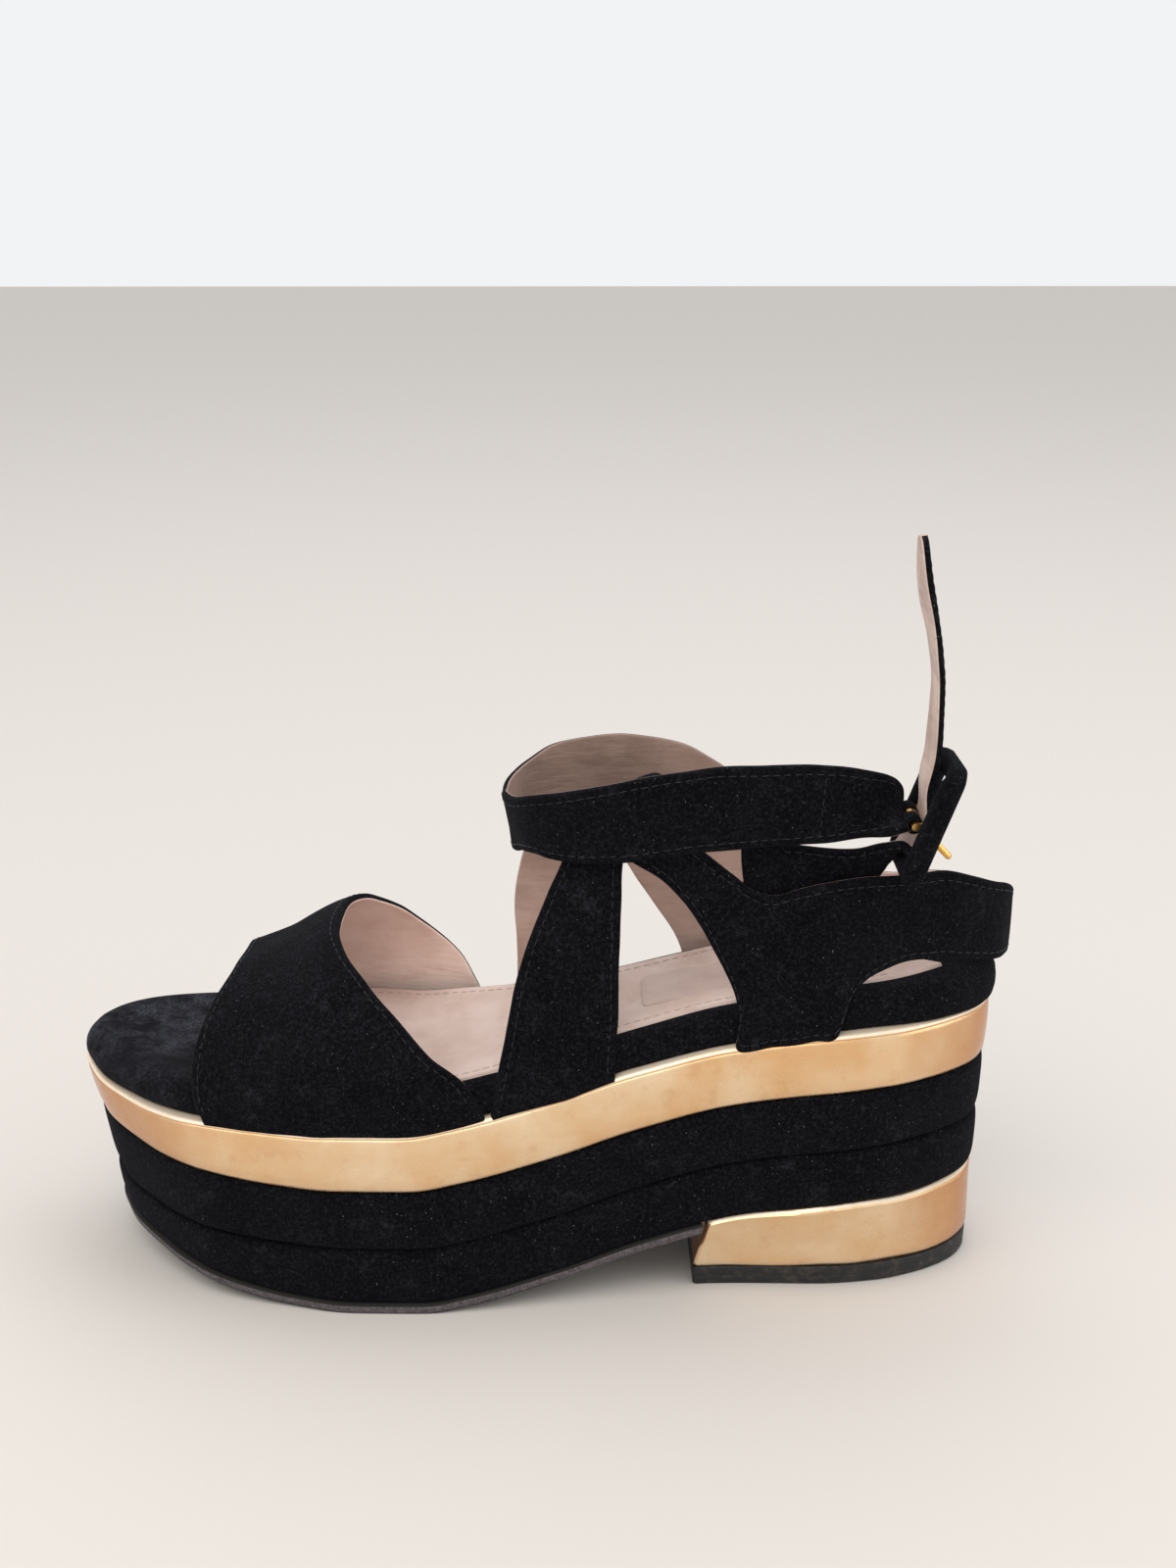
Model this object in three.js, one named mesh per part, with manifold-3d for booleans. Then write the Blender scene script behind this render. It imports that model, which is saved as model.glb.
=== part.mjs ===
// Platform sandal, left shoe, in millimetres.
// The toe points to -X, the lateral side faces -Y, and the floor is Z = 0.
import * as THREE from "three";
import { mergeVertices } from "three/addons/utils/BufferGeometryUtils.js";
import Module from "manifold-3d";

const wasm = await Module();
wasm.setup();

// Driving sizes of the platform
const soleLength = 253.5;
const ballWidth = 86;
const heelRise = 25.5;
const toeSpring = 9;
const outsoleThickness = 2.5;
const lowerLayerHeight = 16;
const upperLayerHeight = 17.7;
const bandHeight = 16.8;
const liftThickness = 6;
const toeRake = 10.2;
const toeRakeBend = 0.8;
const heelRake = 3;
const heelTaper = 0.17;
const sideRake = 0.6;
const layerBulge = 1.8;
const foldRound = 0.7;
const edgeBreak = 0.3;
const outsoleInset = -0.4;
const endRound = 12;

// Driving sizes of the footbed and its sock
const footbedHeight = 9;
const footbedShoulder = 5;
const footbedDish = 2.2;
const sockThickness = 0.8;
const sockMargin = 6;

// Driving sizes of the straps
const strapThickness = 2;
const strapProud = 0.3;
const strapSink = 1;
const toeArchHeight = 52;
const ankleHalfWidth = 30;
const strapRise = 75;
const tipRise = 73;

// Driving sizes of the buckle
const frameLength = 34;
const frameWidth = 27;
const frameLeg = 5;
const frameThickness = 3.8;
const frameTilt = 20.5;
const frameBevel = 0.8;
const windowRadius = 1.5;
const barDiameter = 2;
const barOffset = 4.9;
const barWrap = 1.1;
const earThickness = 0.8;
const earFront = 0.7;
const earBack = 0.3;
const prongDiameter = 1.8;
const prongReach = 12.6;
const pinSlope = 0.77;
const eyeWidth = 2.6;
const eyeWall = 0.8;
const foldBack = 1.2;

// Clearance between pieces that touch on the real shoe, and of the straps between the bar's ears
const seatGap = 0.3;
const tipGap = 0.4;
const loopGap = 1;

// The bar fits between the frame's long legs, and both strap ends fit between its ears.
const barLength = frameWidth - 2 * frameLeg - 2 * seatGap;
const tipWidth = barLength - 2 * earThickness - 2 * tipGap;
const loopWidth = barLength - 2 * earThickness - 2 * loopGap;

// The plan and side of the sole, a row for each station from toe to heel.
// lateral and medial are shares of half the ball width, rise of heelRise, spring of toeSpring,
// bed of footbedHeight, dish of footbedDish and tuck of footbedInset.
const soleRows = [
  { at: 0, lateral: -0.31, medial: 0.31, rise: 0, spring: 1, bed: 0.9, dish: 0, tuck: 0.15 },
  { at: 0.01, lateral: -0.09, medial: 0.6, rise: 0, spring: 0.97, bed: 0.9, dish: 0.1, tuck: 0.2 },
  { at: 0.03, lateral: 0.15, medial: 0.76, rise: 0, spring: 0.9, bed: 0.9, dish: 0.2, tuck: 0.3 },
  { at: 0.06, lateral: 0.37, medial: 0.86, rise: 0, spring: 0.78, bed: 0.92, dish: 0.4, tuck: 0.5 },
  { at: 0.1, lateral: 0.6, medial: 0.915, rise: 0, spring: 0.58, bed: 0.94, dish: 0.5, tuck: 0.8 },
  { at: 0.14, lateral: 0.745, medial: 0.945, rise: 0, spring: 0.38, bed: 0.96, dish: 0.6, tuck: 1 },
  { at: 0.219, lateral: 0.88, medial: 0.975, rise: 0, spring: 0.08, bed: 1, dish: 0.7, tuck: 1 },
  { at: 0.289, lateral: 0.96, medial: 1, rise: 0, spring: 0, bed: 1, dish: 0.7, tuck: 1 },
  { at: 0.368, lateral: 0.97, medial: 0.95, rise: 0, spring: 0, bed: 1, dish: 0.7, tuck: 1 },
  { at: 0.418, lateral: 0.95, medial: 0.885, rise: 0.07, spring: 0, bed: 1, dish: 0.7, tuck: 1 },
  { at: 0.517, lateral: 0.87, medial: 0.72, rise: 0.29, spring: 0, bed: 1, dish: 0.7, tuck: 1 },
  { at: 0.616, lateral: 0.79, medial: 0.595, rise: 0.57, spring: 0, bed: 1, dish: 0.8, tuck: 1 },
  { at: 0.715, lateral: 0.75, medial: 0.58, rise: 0.8, spring: 0, bed: 1.05, dish: 1, tuck: 1 },
  { at: 0.815, lateral: 0.765, medial: 0.67, rise: 0.93, spring: 0, bed: 1.15, dish: 1.2, tuck: 1 },
  { at: 0.881, lateral: 0.714, medial: 0.665, rise: 0.975, spring: 0, bed: 1.22, dish: 1.3, tuck: 0.6 },
  { at: 0.925, lateral: 0.61, medial: 0.59, rise: 0.992, spring: 0, bed: 1.3, dish: 1.2, tuck: -0.2 },
  { at: 0.96, lateral: 0.475, medial: 0.475, rise: 1, spring: 0, bed: 1.33, dish: 1, tuck: -0.55 },
  { at: 0.983, lateral: 0.33, medial: 0.33, rise: 1, spring: 0, bed: 1.35, dish: 0.7, tuck: -0.7 },
  { at: 1, lateral: 0, medial: 0, rise: 1, spring: 0, bed: 1.35, dish: 0.4, tuck: -0.75 },
];

// How much of the toe spring each level of the stack takes up.
const springShare = { floor: 1, groove: 0.35, bandBottom: 0.6, bandTop: 0.06 };

// The vamp strap's edges, a row for each angle over the foot from the lateral base to the medial one.
// front and rear are stations, shares of the sole's length.
const vampRows = [
  { turn: 0, front: 0.16, rear: 0.457 },
  { turn: 0.05, front: 0.151, rear: 0.434 },
  { turn: 0.1, front: 0.149, rear: 0.403 },
  { turn: 0.18, front: 0.151, rear: 0.369 },
  { turn: 0.27, front: 0.157, rear: 0.334 },
  { turn: 0.36, front: 0.167, rear: 0.308 },
  { turn: 0.45, front: 0.179, rear: 0.296 },
  { turn: 0.55, front: 0.186, rear: 0.301 },
  { turn: 0.65, front: 0.186, rear: 0.321 },
  { turn: 0.75, front: 0.18, rear: 0.351 },
  { turn: 0.85, front: 0.17, rear: 0.391 },
  { turn: 0.93, front: 0.168, rear: 0.427 },
  { turn: 1, front: 0.17, rear: 0.45 },
];

// Height of the foot's arch over the band, as a share of toeArchHeight.
const archRows = [
  { at: 0, arch: 0.45 },
  { at: 0.14, arch: 0.57 },
  { at: 0.19, arch: 0.645 },
  { at: 0.229, arch: 0.722 },
  { at: 0.289, arch: 0.895 },
  { at: 0.348, arch: 0.97 },
  { at: 0.418, arch: 1.06 },
  { at: 0.517, arch: 1.25 },
  { at: 1, arch: 1.3 },
];

// A point of the straps' tables is a share of the sole's length from the toe, of ankleHalfWidth towards
// the medial side, and of strapRise over the heel seat. A base point is a station on the sole's wall.
const lateral = -1;
const medial = 1;
const base = (side, at) => ({ side, at });

// From the medial base over the instep, down the lateral quarter, round the heel and up the medial
// quarter: low is the lower and front edge, high the upper and rear edge.
const quarterRows = [
  { low: base(medial, 0.483), high: base(medial, 0.58) },
  { low: [0.484, 0.92, 0.05], high: [0.58, 0.85, 0.1] },
  { low: [0.483, 0.85, 0.25], high: [0.58, 0.8, 0.3] },
  { low: [0.491, 0.75, 0.4], high: [0.582, 0.72, 0.48] },
  { low: [0.505, 0.55, 0.547], high: [0.586, 0.55, 0.61] },
  { low: [0.521, 0.2, 0.64], high: [0.594, 0.23, 0.72] },
  { low: [0.542, -0.23, 0.68], high: [0.602, -0.2, 0.78] },
  { low: [0.573, -0.63, 0.647], high: [0.612, -0.58, 0.787] },
  { low: [0.608, -0.85, 0.587], high: [0.628, -0.817, 0.767] },
  { low: [0.636, -0.9, 0.533], high: [0.656, -0.867, 0.7] },
  { low: [0.664, -0.94, 0.433], high: [0.688, -0.9, 0.613] },
  { low: [0.696, -0.98, 0.26], high: [0.711, -0.92, 0.553] },
  { low: [0.711, -1.01, 0.147], high: [0.727, -0.93, 0.507] },
  { low: [0.719, -1.05, 0.03], high: [0.743, -0.94, 0.483] },
  { low: base(lateral, 0.717), high: [0.757, -0.95, 0.48] },
  { low: base(lateral, 0.755), high: [0.775, -0.957, 0.5] },
  { low: base(lateral, 0.797), high: [0.797, -0.96, 0.52] },
  { low: base(lateral, 0.818), high: [0.821, -0.96, 0.533] },
  { low: [0.835, -1.01, 0.09], high: [0.846, -0.947, 0.54] },
  { low: [0.852, -0.965, 0.164], high: [0.868, -0.92, 0.541] },
  { low: [0.874, -0.91, 0.2], high: [0.89, -0.88, 0.541] },
  { low: [0.896, -0.85, 0.217], high: [0.912, -0.835, 0.541] },
  { low: [0.922, -0.77, 0.213], high: [0.934, -0.75, 0.533] },
  { low: [0.959, -0.65, 0.189], high: [0.965, -0.63, 0.502] },
  { low: [0.996, -0.46, 0.158], high: [0.998, -0.43, 0.455] },
  { low: [1.013, -0.2, 0.134], high: [1.016, -0.2, 0.412] },
  { low: [1.02, 0, 0.122], high: [1.022, 0, 0.374] },
  { low: [1.013, 0.2, 0.122], high: [1.016, 0.2, 0.357] },
  { low: [0.996, 0.45, 0.138], high: [0.998, 0.43, 0.347] },
  { low: [0.957, 0.64, 0.175], high: [0.963, 0.61, 0.351] },
  { low: [0.918, 0.75, 0.18], high: [0.932, 0.717, 0.341] },
  { low: [0.89, 0.817, 0.165], high: [0.91, 0.8, 0.326] },
  { low: [0.862, 0.867, 0.13], high: [0.886, 0.85, 0.327] },
  { low: [0.834, 0.883, 0.085], high: [0.862, 0.867, 0.34] },
  { low: [0.815, 0.9, 0.045], high: [0.838, 0.877, 0.357] },
  { low: base(medial, 0.803), high: [0.815, 0.877, 0.38] },
  { low: base(medial, 0.759), high: [0.787, 0.867, 0.41] },
  { low: base(medial, 0.719), high: [0.759, 0.85, 0.43] },
  { low: base(medial, 0.68), high: [0.733, 0.833, 0.44] },
  { low: [0.672, 0.85, 0.013], high: [0.717, 0.817, 0.453] },
  { low: [0.658, 0.833, 0.107], high: [0.702, 0.8, 0.48] },
  { low: [0.638, 0.8, 0.207], high: [0.68, 0.75, 0.547] },
  { low: [0.614, 0.717, 0.333], high: [0.66, 0.65, 0.62] },
  { low: [0.596, 0.567, 0.453], high: [0.64, 0.483, 0.68] },
];

// From the lateral base over the instep to the medial arm, which it laps.
const riserRows = [
  { low: base(lateral, 0.461), high: base(lateral, 0.592) },
  { low: [0.476, -1.18, -0.04], high: [0.593, -1.08, -0.067] },
  { low: [0.487, -1.067, 0.16], high: [0.595, -1.0, 0.16] },
  { low: [0.503, -0.957, 0.327], high: [0.596, -0.943, 0.34] },
  { low: [0.519, -0.85, 0.467], high: [0.597, -0.893, 0.48] },
  { low: [0.534, -0.75, 0.58], high: [0.598, -0.847, 0.58] },
  { low: [0.543, -0.483, 0.68], high: [0.602, -0.683, 0.707] },
  { low: [0.553, -0.1, 0.72], high: [0.616, -0.267, 0.807] },
  { low: [0.571, 0.267, 0.653], high: [0.638, 0.15, 0.793] },
  { low: [0.592, 0.547, 0.52], high: [0.654, 0.477, 0.707] },
  { low: [0.612, 0.727, 0.387], high: [0.668, 0.64, 0.62] },
];

// From the buckle's bar forward along the lateral side, round the front and back to the medial quarter.
const ankleRows = [
  { low: [0.872, -1.21, 0.757], high: [0.875, -0.75, 0.853] },
  { low: [0.859, -1.133, 0.724], high: [0.861, -0.9, 0.907] },
  { low: [0.838, -1.06, 0.7], high: [0.84, -1.01, 0.941] },
  { low: [0.807, -1.033, 0.683], high: [0.807, -1.033, 0.955] },
  { low: [0.751, -1.033, 0.664], high: [0.751, -1.033, 0.957] },
  { low: [0.696, -1.033, 0.656], high: [0.696, -1.033, 0.949] },
  { low: [0.648, -1.033, 0.633], high: [0.644, -1.033, 0.928] },
  { low: [0.6, -1.01, 0.608], high: [0.596, -1.017, 0.897] },
  { low: [0.557, -0.943, 0.596], high: [0.553, -0.967, 0.864] },
  { low: [0.525, -0.817, 0.597], high: [0.513, -0.833, 0.827] },
  { low: [0.507, -0.617, 0.593], high: [0.487, -0.6, 0.789] },
  { low: [0.495, -0.267, 0.553], high: [0.473, -0.233, 0.76] },
  { low: [0.485, 0.1, 0.5], high: [0.471, 0.133, 0.733] },
  { low: [0.481, 0.467, 0.467], high: [0.474, 0.5, 0.731] },
  { low: [0.488, 0.8, 0.467], high: [0.493, 0.817, 0.76] },
  { low: [0.517, 1.0, 0.5], high: [0.525, 1.0, 0.808] },
  { low: [0.565, 1.083, 0.533], high: [0.569, 1.067, 0.833] },
  { low: [0.612, 1.1, 0.54], high: [0.616, 1.093, 0.836] },
  { low: [0.656, 1.1, 0.507], high: [0.668, 1.093, 0.803] },
  { low: [0.688, 1.083, 0.44], high: [0.705, 1.077, 0.74] },
  { low: [0.719, 1.04, 0.347], high: [0.743, 1.03, 0.64] },
  { low: [0.751, 0.99, 0.253], high: [0.779, 0.98, 0.533] },
  { low: [0.775, 0.965, 0.14], high: [0.801, 0.965, 0.365] },
];

// From inside the lateral quarter to the buckle, where it twists from upright to level.
const tipRunRows = [
  { low: [0.722, -0.86, 0.44], high: [0.718, -0.86, 0.66] },
  { low: [0.772, -0.85, 0.44], high: [0.77, -0.85, 0.653] },
  { low: [0.807, -0.85, 0.44], high: [0.805, -0.85, 0.64] },
  { low: [0.836, -0.84, 0.44], high: [0.836, -0.86, 0.633] },
  { low: [0.856, -0.77, 0.49], high: [0.86, -0.96, 0.66] },
  { low: [0.872, -0.76, 0.565], high: [0.878, -1.12, 0.687] },
];

// The free end over the buckle's centre: along and up as shares of tipRise, width a share of tipWidth.
const tipRiseRows = [
  { along: -0.06, up: -0.11, width: 1 },
  { along: -0.017, up: -0.06, width: 1 },
  { along: -0.002, up: 0.02, width: 1 },
  { along: -0.006, up: 0.12, width: 1 },
  { along: 0.014, up: 0.25, width: 1 },
  { along: 0.021, up: 0.42, width: 1 },
  { along: 0.001, up: 0.63, width: 1 },
  { along: -0.036, up: 0.82, width: 1 },
  { along: -0.051, up: 0.93, width: 0.8 },
  { along: -0.056, up: 0.985, width: 0.45 },
  { along: -0.058, up: 1, width: 0.15 },
];

// Where the buckle's centre hangs
const buckleCentre = [0.9075, -0.967, 0.767];

// A share of the length as an angle round the sole, so that round ends stay round between rows.
const roundedShare = (at) => Math.acos(1 - 2 * Math.min(1, Math.max(0, at))) / Math.PI;
const lengthShare = (t) => (1 - Math.cos(Math.PI * t)) / 2;

// A smooth curve through one column of a table, without overshoot between its rows.
function column(rows, key, place = (row) => roundedShare(row.at)) {
  const t = rows.map(place);
  const v = rows.map((row) => row[key]);
  const slope = t.slice(1).map((edge, i) => (v[i + 1] - v[i]) / (edge - t[i]));
  const tangent = v.map((_, i) => {
    const before = slope[Math.max(0, i - 1)];
    const after = slope[Math.min(slope.length - 1, i)];
    return before * after <= 0 ? 0 : (2 * before * after) / (before + after);
  });
  return (x) => {
    const next = t.findIndex((edge) => edge >= x);
    const i = Math.max(0, (next < 0 ? t.length : next) - 1);
    if (i === t.length - 1) return v[i];
    const span = t[i + 1] - t[i];
    const s = Math.min(1, Math.max(0, (x - t[i]) / span));
    const start = (1 + 2 * s) * (1 - s) ** 2 * v[i] + s * (1 - s) ** 2 * span * tangent[i];
    return start + s * s * (3 - 2 * s) * v[i + 1] - s * s * (1 - s) * span * tangent[i + 1];
  };
}

const alongSole = (key) => {
  const curve = column(soleRows, key);
  return (at) => curve(roundedShare(at));
};
const lateralShare = alongSole("lateral");
const medialShare = alongSole("medial");
const riseShare = alongSole("rise");
const springAlong = alongSole("spring");
const bedShare = alongSole("bed");
const dishShare = alongSole("dish");
const tuckShare = alongSole("tuck");

// Heights of the stack's levels at a station
const stackHeight = outsoleThickness + lowerLayerHeight + upperLayerHeight + bandHeight;
function levelHeight(at, atBall, spring) {
  return atBall + heelRise * riseShare(at) + toeSpring * spring * springAlong(at);
}
const soleBottom = (at) => levelHeight(at, 0, springShare.floor);
const lowerBottom = (at) => levelHeight(at, outsoleThickness, springShare.floor);
const groove = (at) => levelHeight(at, outsoleThickness + lowerLayerHeight, springShare.groove);
const bandBottom = (at) => levelHeight(at, stackHeight - bandHeight, springShare.bandBottom);
const bandTop = (at) => levelHeight(at, stackHeight, springShare.bandTop);
const heelSeat = bandTop(1);

// A point of the sole's raked wall at a station and height: across runs from -1, the lateral wall, to 1.
function wallPoint(at, across, z, inset = 0) {
  const depth = Math.max(0, 1 - z / bandTop(at));
  const toe = toeRake * depth ** toeRakeBend + inset;
  const heel = heelRake * depth + inset;
  const middle = ((medialShare(at) - lateralShare(at)) * ballWidth) / 4;
  const half = ((medialShare(at) + lateralShare(at)) * ballWidth) / 4;
  const taken = (sideRake * depth + inset) * Math.min(1, half / endRound);
  const x = -soleLength / 2 + toe + at * (soleLength - toe - heel);
  return [x, middle + across * (half - taken), z];
}

// Stations between two shares of the length, closer together at the round ends.
const endShare = 0.02;
function stations(from, to, count) {
  const first = Math.max(endShare, roundedShare(from));
  const last = Math.min(1 - endShare, roundedShare(to));
  return Array.from({ length: count }, (_, i) => lengthShare(first + ((last - first) * i) / (count - 1)));
}

// A closed solid between two grids of points with the same rows and columns.
function shell(upper, lower) {
  const rows = upper.length;
  const columns = upper[0].length;
  const points = [...upper.flat(), ...lower.flat()];
  const top = (i, j) => i * columns + j;
  const under = (i, j) => (rows + i) * columns + j;
  const index = [];
  const quad = (a, b, c, d) => index.push(a, b, c, a, c, d);
  for (let i = 0; i + 1 < rows; i++) {
    for (let j = 0; j + 1 < columns; j++) {
      quad(top(i, j), top(i + 1, j), top(i + 1, j + 1), top(i, j + 1));
      quad(under(i, j), under(i, j + 1), under(i + 1, j + 1), under(i + 1, j));
    }
    quad(top(i, 0), under(i, 0), under(i + 1, 0), top(i + 1, 0));
    quad(top(i, columns - 1), top(i + 1, columns - 1), under(i + 1, columns - 1), under(i, columns - 1));
  }
  for (let j = 0; j + 1 < columns; j++) {
    quad(top(0, j), top(0, j + 1), under(0, j + 1), under(0, j));
    quad(top(rows - 1, j), under(rows - 1, j), under(rows - 1, j + 1), top(rows - 1, j + 1));
  }
  return facingOut(points, index);
}

// A geometry from points and triangles, turned inside out where its volume comes out negative.
function facingOut(points, index) {
  let volume = 0;
  for (let i = 0; i < index.length; i += 3) {
    const [a, b, c] = [0, 1, 2].map((k) => new THREE.Vector3(...points[index[i + k]]));
    volume += a.dot(b.cross(c));
  }
  if (volume < 0) index.reverse();
  const geometry = new THREE.BufferGeometry();
  geometry.setAttribute("position", new THREE.Float32BufferAttribute(points.flat(), 3));
  geometry.setIndex(index);
  geometry.computeVertexNormals();
  return geometry;
}

// A solid for joining and cutting, and its geometry again afterwards
function solid(geometry) {
  const bare = geometry.clone();
  bare.deleteAttribute("normal");
  bare.deleteAttribute("uv");
  const merged = mergeVertices(bare, 1e-4);
  const vertProperties = new Float32Array(merged.attributes.position.array);
  const triVerts = new Uint32Array(merged.index.array);
  return new wasm.Manifold(new wasm.Mesh({ numProp: 3, vertProperties, triVerts }));
}
function geometryOf(joined) {
  const mesh = joined.getMesh();
  const geometry = new THREE.BufferGeometry();
  geometry.setAttribute("position", new THREE.BufferAttribute(mesh.vertProperties, 3));
  geometry.setIndex(new THREE.BufferAttribute(mesh.triVerts, 1));
  geometry.computeVertexNormals();
  return geometry;
}

// A layer of the stack. Its side is a list of inset and height share from its middle to its top edge.
function layer(places, bottom, top, side, inset = 0) {
  const rim = (at, up, low, high) =>
    side.map(([into, share]) => {
      const middle = (low + high) / 2;
      const z = up ? middle + share * (high - middle) : middle - share * (middle - low);
      return { into: into + inset, z };
    });
  const grid = (up) =>
    places.map((at) => {
      const edge = rim(at, up, bottom(at), top(at));
      const near = edge.map(({ into, z }) => wallPoint(at, -1, z, into));
      const far = edge.map(({ into, z }) => wallPoint(at, 1, z, into)).reverse();
      return [...near, ...far];
    });
  return shell(grid(true), grid(false));
}

const raised = (height) => (at) => height(at) + seatGap;
const softSide = [
  [0, 0],
  [0.35 * layerBulge, 0.8],
  [layerBulge, 1],
];
const squareSide = [
  [0, 0],
  [0, 0.9],
  [foldRound, 1],
];
const plainSide = [
  [0, 0],
  [edgeBreak, 1],
];

// Heel block and lift run from a slanted front face to the round back of the sole.
const heelFront = 0.686;
const liftFront = 0.671;
const outsoleBack = 0.68;
const soleStations = stations(0, 1, 38);
const outsoleStations = stations(0, outsoleBack, 26);
const heelStations = stations(heelFront, 1, 20);
const liftStations = stations(liftFront, 1, 20);
const heelBlockTop = (at) => lowerBottom(at) - seatGap;
const liftTop = () => liftThickness;

const midsoleBand = layer(soleStations, raised(bandBottom), bandTop, squareSide);
const platformUpper = layer(soleStations, raised(groove), bandBottom, softSide);
const platformLower = layer(soleStations, raised(lowerBottom), groove, softSide);
const outsole = layer(outsoleStations, soleBottom, lowerBottom, plainSide, outsoleInset);
const topLift = tapered(layer(liftStations, () => 0, liftTop, plainSide));

// The heel narrows towards the floor.
function tapered(geometry) {
  const points = geometry.attributes.position;
  for (let i = 0; i < points.count; i++) {
    const depth = Math.max(0, 1 - points.getZ(i) / lowerBottom(1));
    points.setY(i, points.getY(i) * (1 - heelTaper * depth));
  }
  geometry.computeVertexNormals();
  return geometry;
}

// The heel block leans forward as it goes down, from its own front to the lift's.
function leaningHeel() {
  const frontShift = (at, z) => {
    const lean = (liftFront - heelFront) * soleLength * (1 - z / heelBlockTop(at));
    return lean * Math.max(0, (1 - at) / (1 - heelFront)) ** 2;
  };
  const grid = (up) =>
    heelStations.map((at) => {
      const low = liftThickness + seatGap;
      const high = heelBlockTop(at);
      const middle = (low + high) / 2;
      const edge = squareSide.map(([into, share]) => ({
        into,
        z: middle + (up ? share : -share) * (high - middle),
      }));
      const at3 = (across) => ({ into, z }) => {
        const [x, y] = wallPoint(at, across, z, into);
        return [x + frontShift(at, z), y, z];
      };
      return [...edge.map(at3(-1)), ...edge.map(at3(1)).reverse()];
    });
  return tapered(shell(grid(true), grid(false)));
}

// Height of the footbed's top over the band at a distance in from its wall
const footbedInset = strapThickness - strapProud + seatGap;
function bedTop(at, into) {
  const height = footbedHeight * bedShare(at);
  const shoulder = Math.min(footbedShoulder, into);
  const round = footbedShoulder - Math.sqrt(footbedShoulder ** 2 - (footbedShoulder - shoulder) ** 2);
  const dished = Math.min(1, Math.max(0, (into - footbedShoulder) / ballWidth) * 4);
  return bandTop(at) + height - round - footbedDish * dishShare(at) * dished;
}

// A point of the footbed's top or underside at a distance in from its wall, on the lateral or medial side.
const shareOf = (x) => x / soleLength + 0.5;
function bedPoint(at, side, into, lift = 0, grown = 0) {
  const [x, y] = wallPoint(at, side, bandTop(at), footbedInset * tuckShare(at) + into - grown);
  return [x, y, bedTop(shareOf(x), into) + lift + grown];
}
function bedUnder(at, side, into, lift = seatGap, grown = 0) {
  const [x, y] = wallPoint(at, side, bandTop(at), footbedInset * tuckShare(at) + into - grown);
  return [x, y, bandTop(shareOf(x)) + lift];
}

// Distances in from the footbed's wall: round its shoulder, to the sock's margin and into the dish
const leastHalf = 1;
const rimShare = 0.3;
const bedMiddle = (at) => ((medialShare(at) + lateralShare(at)) * ballWidth) / 4 - footbedInset;
const bedSteps = (at) => {
  const half = Math.max(leastHalf, bedMiddle(at));
  const margin = Math.min(sockMargin, half * 0.45);
  return [0, Math.min(0.25 * footbedShoulder, half * 0.2), 0.6 * margin, margin, half * 0.62];
};
const footbedStations = stations(0, 1, 34);

function footbedSolid(grown = 0) {
  const upper = footbedStations.map((at) => {
    const wall = [-1, 1].map((side) => bedUnder(at, side, 0, rimShare * footbedHeight, grown));
    const near = bedSteps(at).map((into) => bedPoint(at, -1, into, 0, grown));
    const far = bedSteps(at).map((into) => bedPoint(at, 1, into, 0, grown)).reverse();
    return [wall[0], ...near, ...far, wall[1]];
  });
  const lower = footbedStations.map((at) => {
    const steps = [0, ...bedSteps(at).map((into) => Math.max(into, 0.01))];
    const near = steps.map((into) => bedUnder(at, -1, into, seatGap, grown));
    return [...near, ...steps.map((into) => bedUnder(at, 1, into, seatGap, grown)).reverse()];
  });
  return shell(upper, lower);
}

// The sock covers the footbed from under the vamp strap to the heel, inside its margin.
const sockFront = 0.22;
const sockBack = 0.955;
function sockSolid() {
  const places = footbedStations.filter((at) => at > sockFront && at < sockBack);
  const grid = (lift) =>
    places.map((at) => {
      const steps = bedSteps(at).slice(3);
      const near = steps.map((into) => bedPoint(at, -1, into, lift));
      return [...near, ...steps.map((into) => bedPoint(at, 1, into, lift)).reverse()];
    });
  return shell(grid(seatGap + sockThickness), grid(seatGap));
}

// A strap from its outer surface, a function of the shares along and across it.
function strapSolid(surface, along, across, outward) {
  const step = 1e-3;
  const inner = (u, v) => {
    const a = surface(Math.max(0, u - step), v);
    const b = surface(Math.min(1, u + step), v);
    const c = surface(u, Math.max(0, v - step));
    const d = surface(u, Math.min(1, v + step));
    const normal = b.sub(a).cross(d.sub(c)).normalize();
    return surface(u, v).addScaledVector(normal, -outward * strapThickness);
  };
  const grid = (pointAt) =>
    Array.from({ length: along + 1 }, (_, i) =>
      Array.from({ length: across + 1 }, (_, j) => pointAt(i / along, j / across).toArray()),
    );
  return shell(grid(surface), grid(inner));
}

// The foot's section at a station: a full arch from wall to wall over the band.
const archFullness = 2.4;
const archAlong = column(archRows, "arch");
function footPoint(at, turn) {
  const angle = Math.PI * turn;
  const power = 2 / archFullness;
  const out = -Math.sign(Math.cos(angle)) * Math.abs(Math.cos(angle)) ** power;
  const up = Math.sin(angle) ** power;
  const [x, y] = wallPoint(at, out, bandTop(at), -strapProud);
  return new THREE.Vector3(x, y, bandTop(at) - strapSink + up * toeArchHeight * archAlong(roundedShare(at)));
}

// What a strap is cut clear of where it stands on the band and beside the footbed
const cutDepth = 4;
const sliver = 0.03;
const cutStations = stations(0.05, 0.95, 26);
const cutRows = (lift) =>
  cutStations.map((at) => [-1, 1].map((side) => bedUnder(at, side, -2 * strapThickness, lift)));
const bandCutter = shell(cutRows(seatGap + sliver), cutRows(-cutDepth));
const footbedCutter = footbedSolid(seatGap + 2 * sliver);
function seated(strap) {
  const cut = solid(strap).subtract(solid(bandCutter)).subtract(solid(footbedCutter)).simplify(sliver);
  const largestFirst = cut.decompose().sort((a, b) => b.volume() - a.volume());
  return geometryOf(largestFirst[0]);
}

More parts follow.
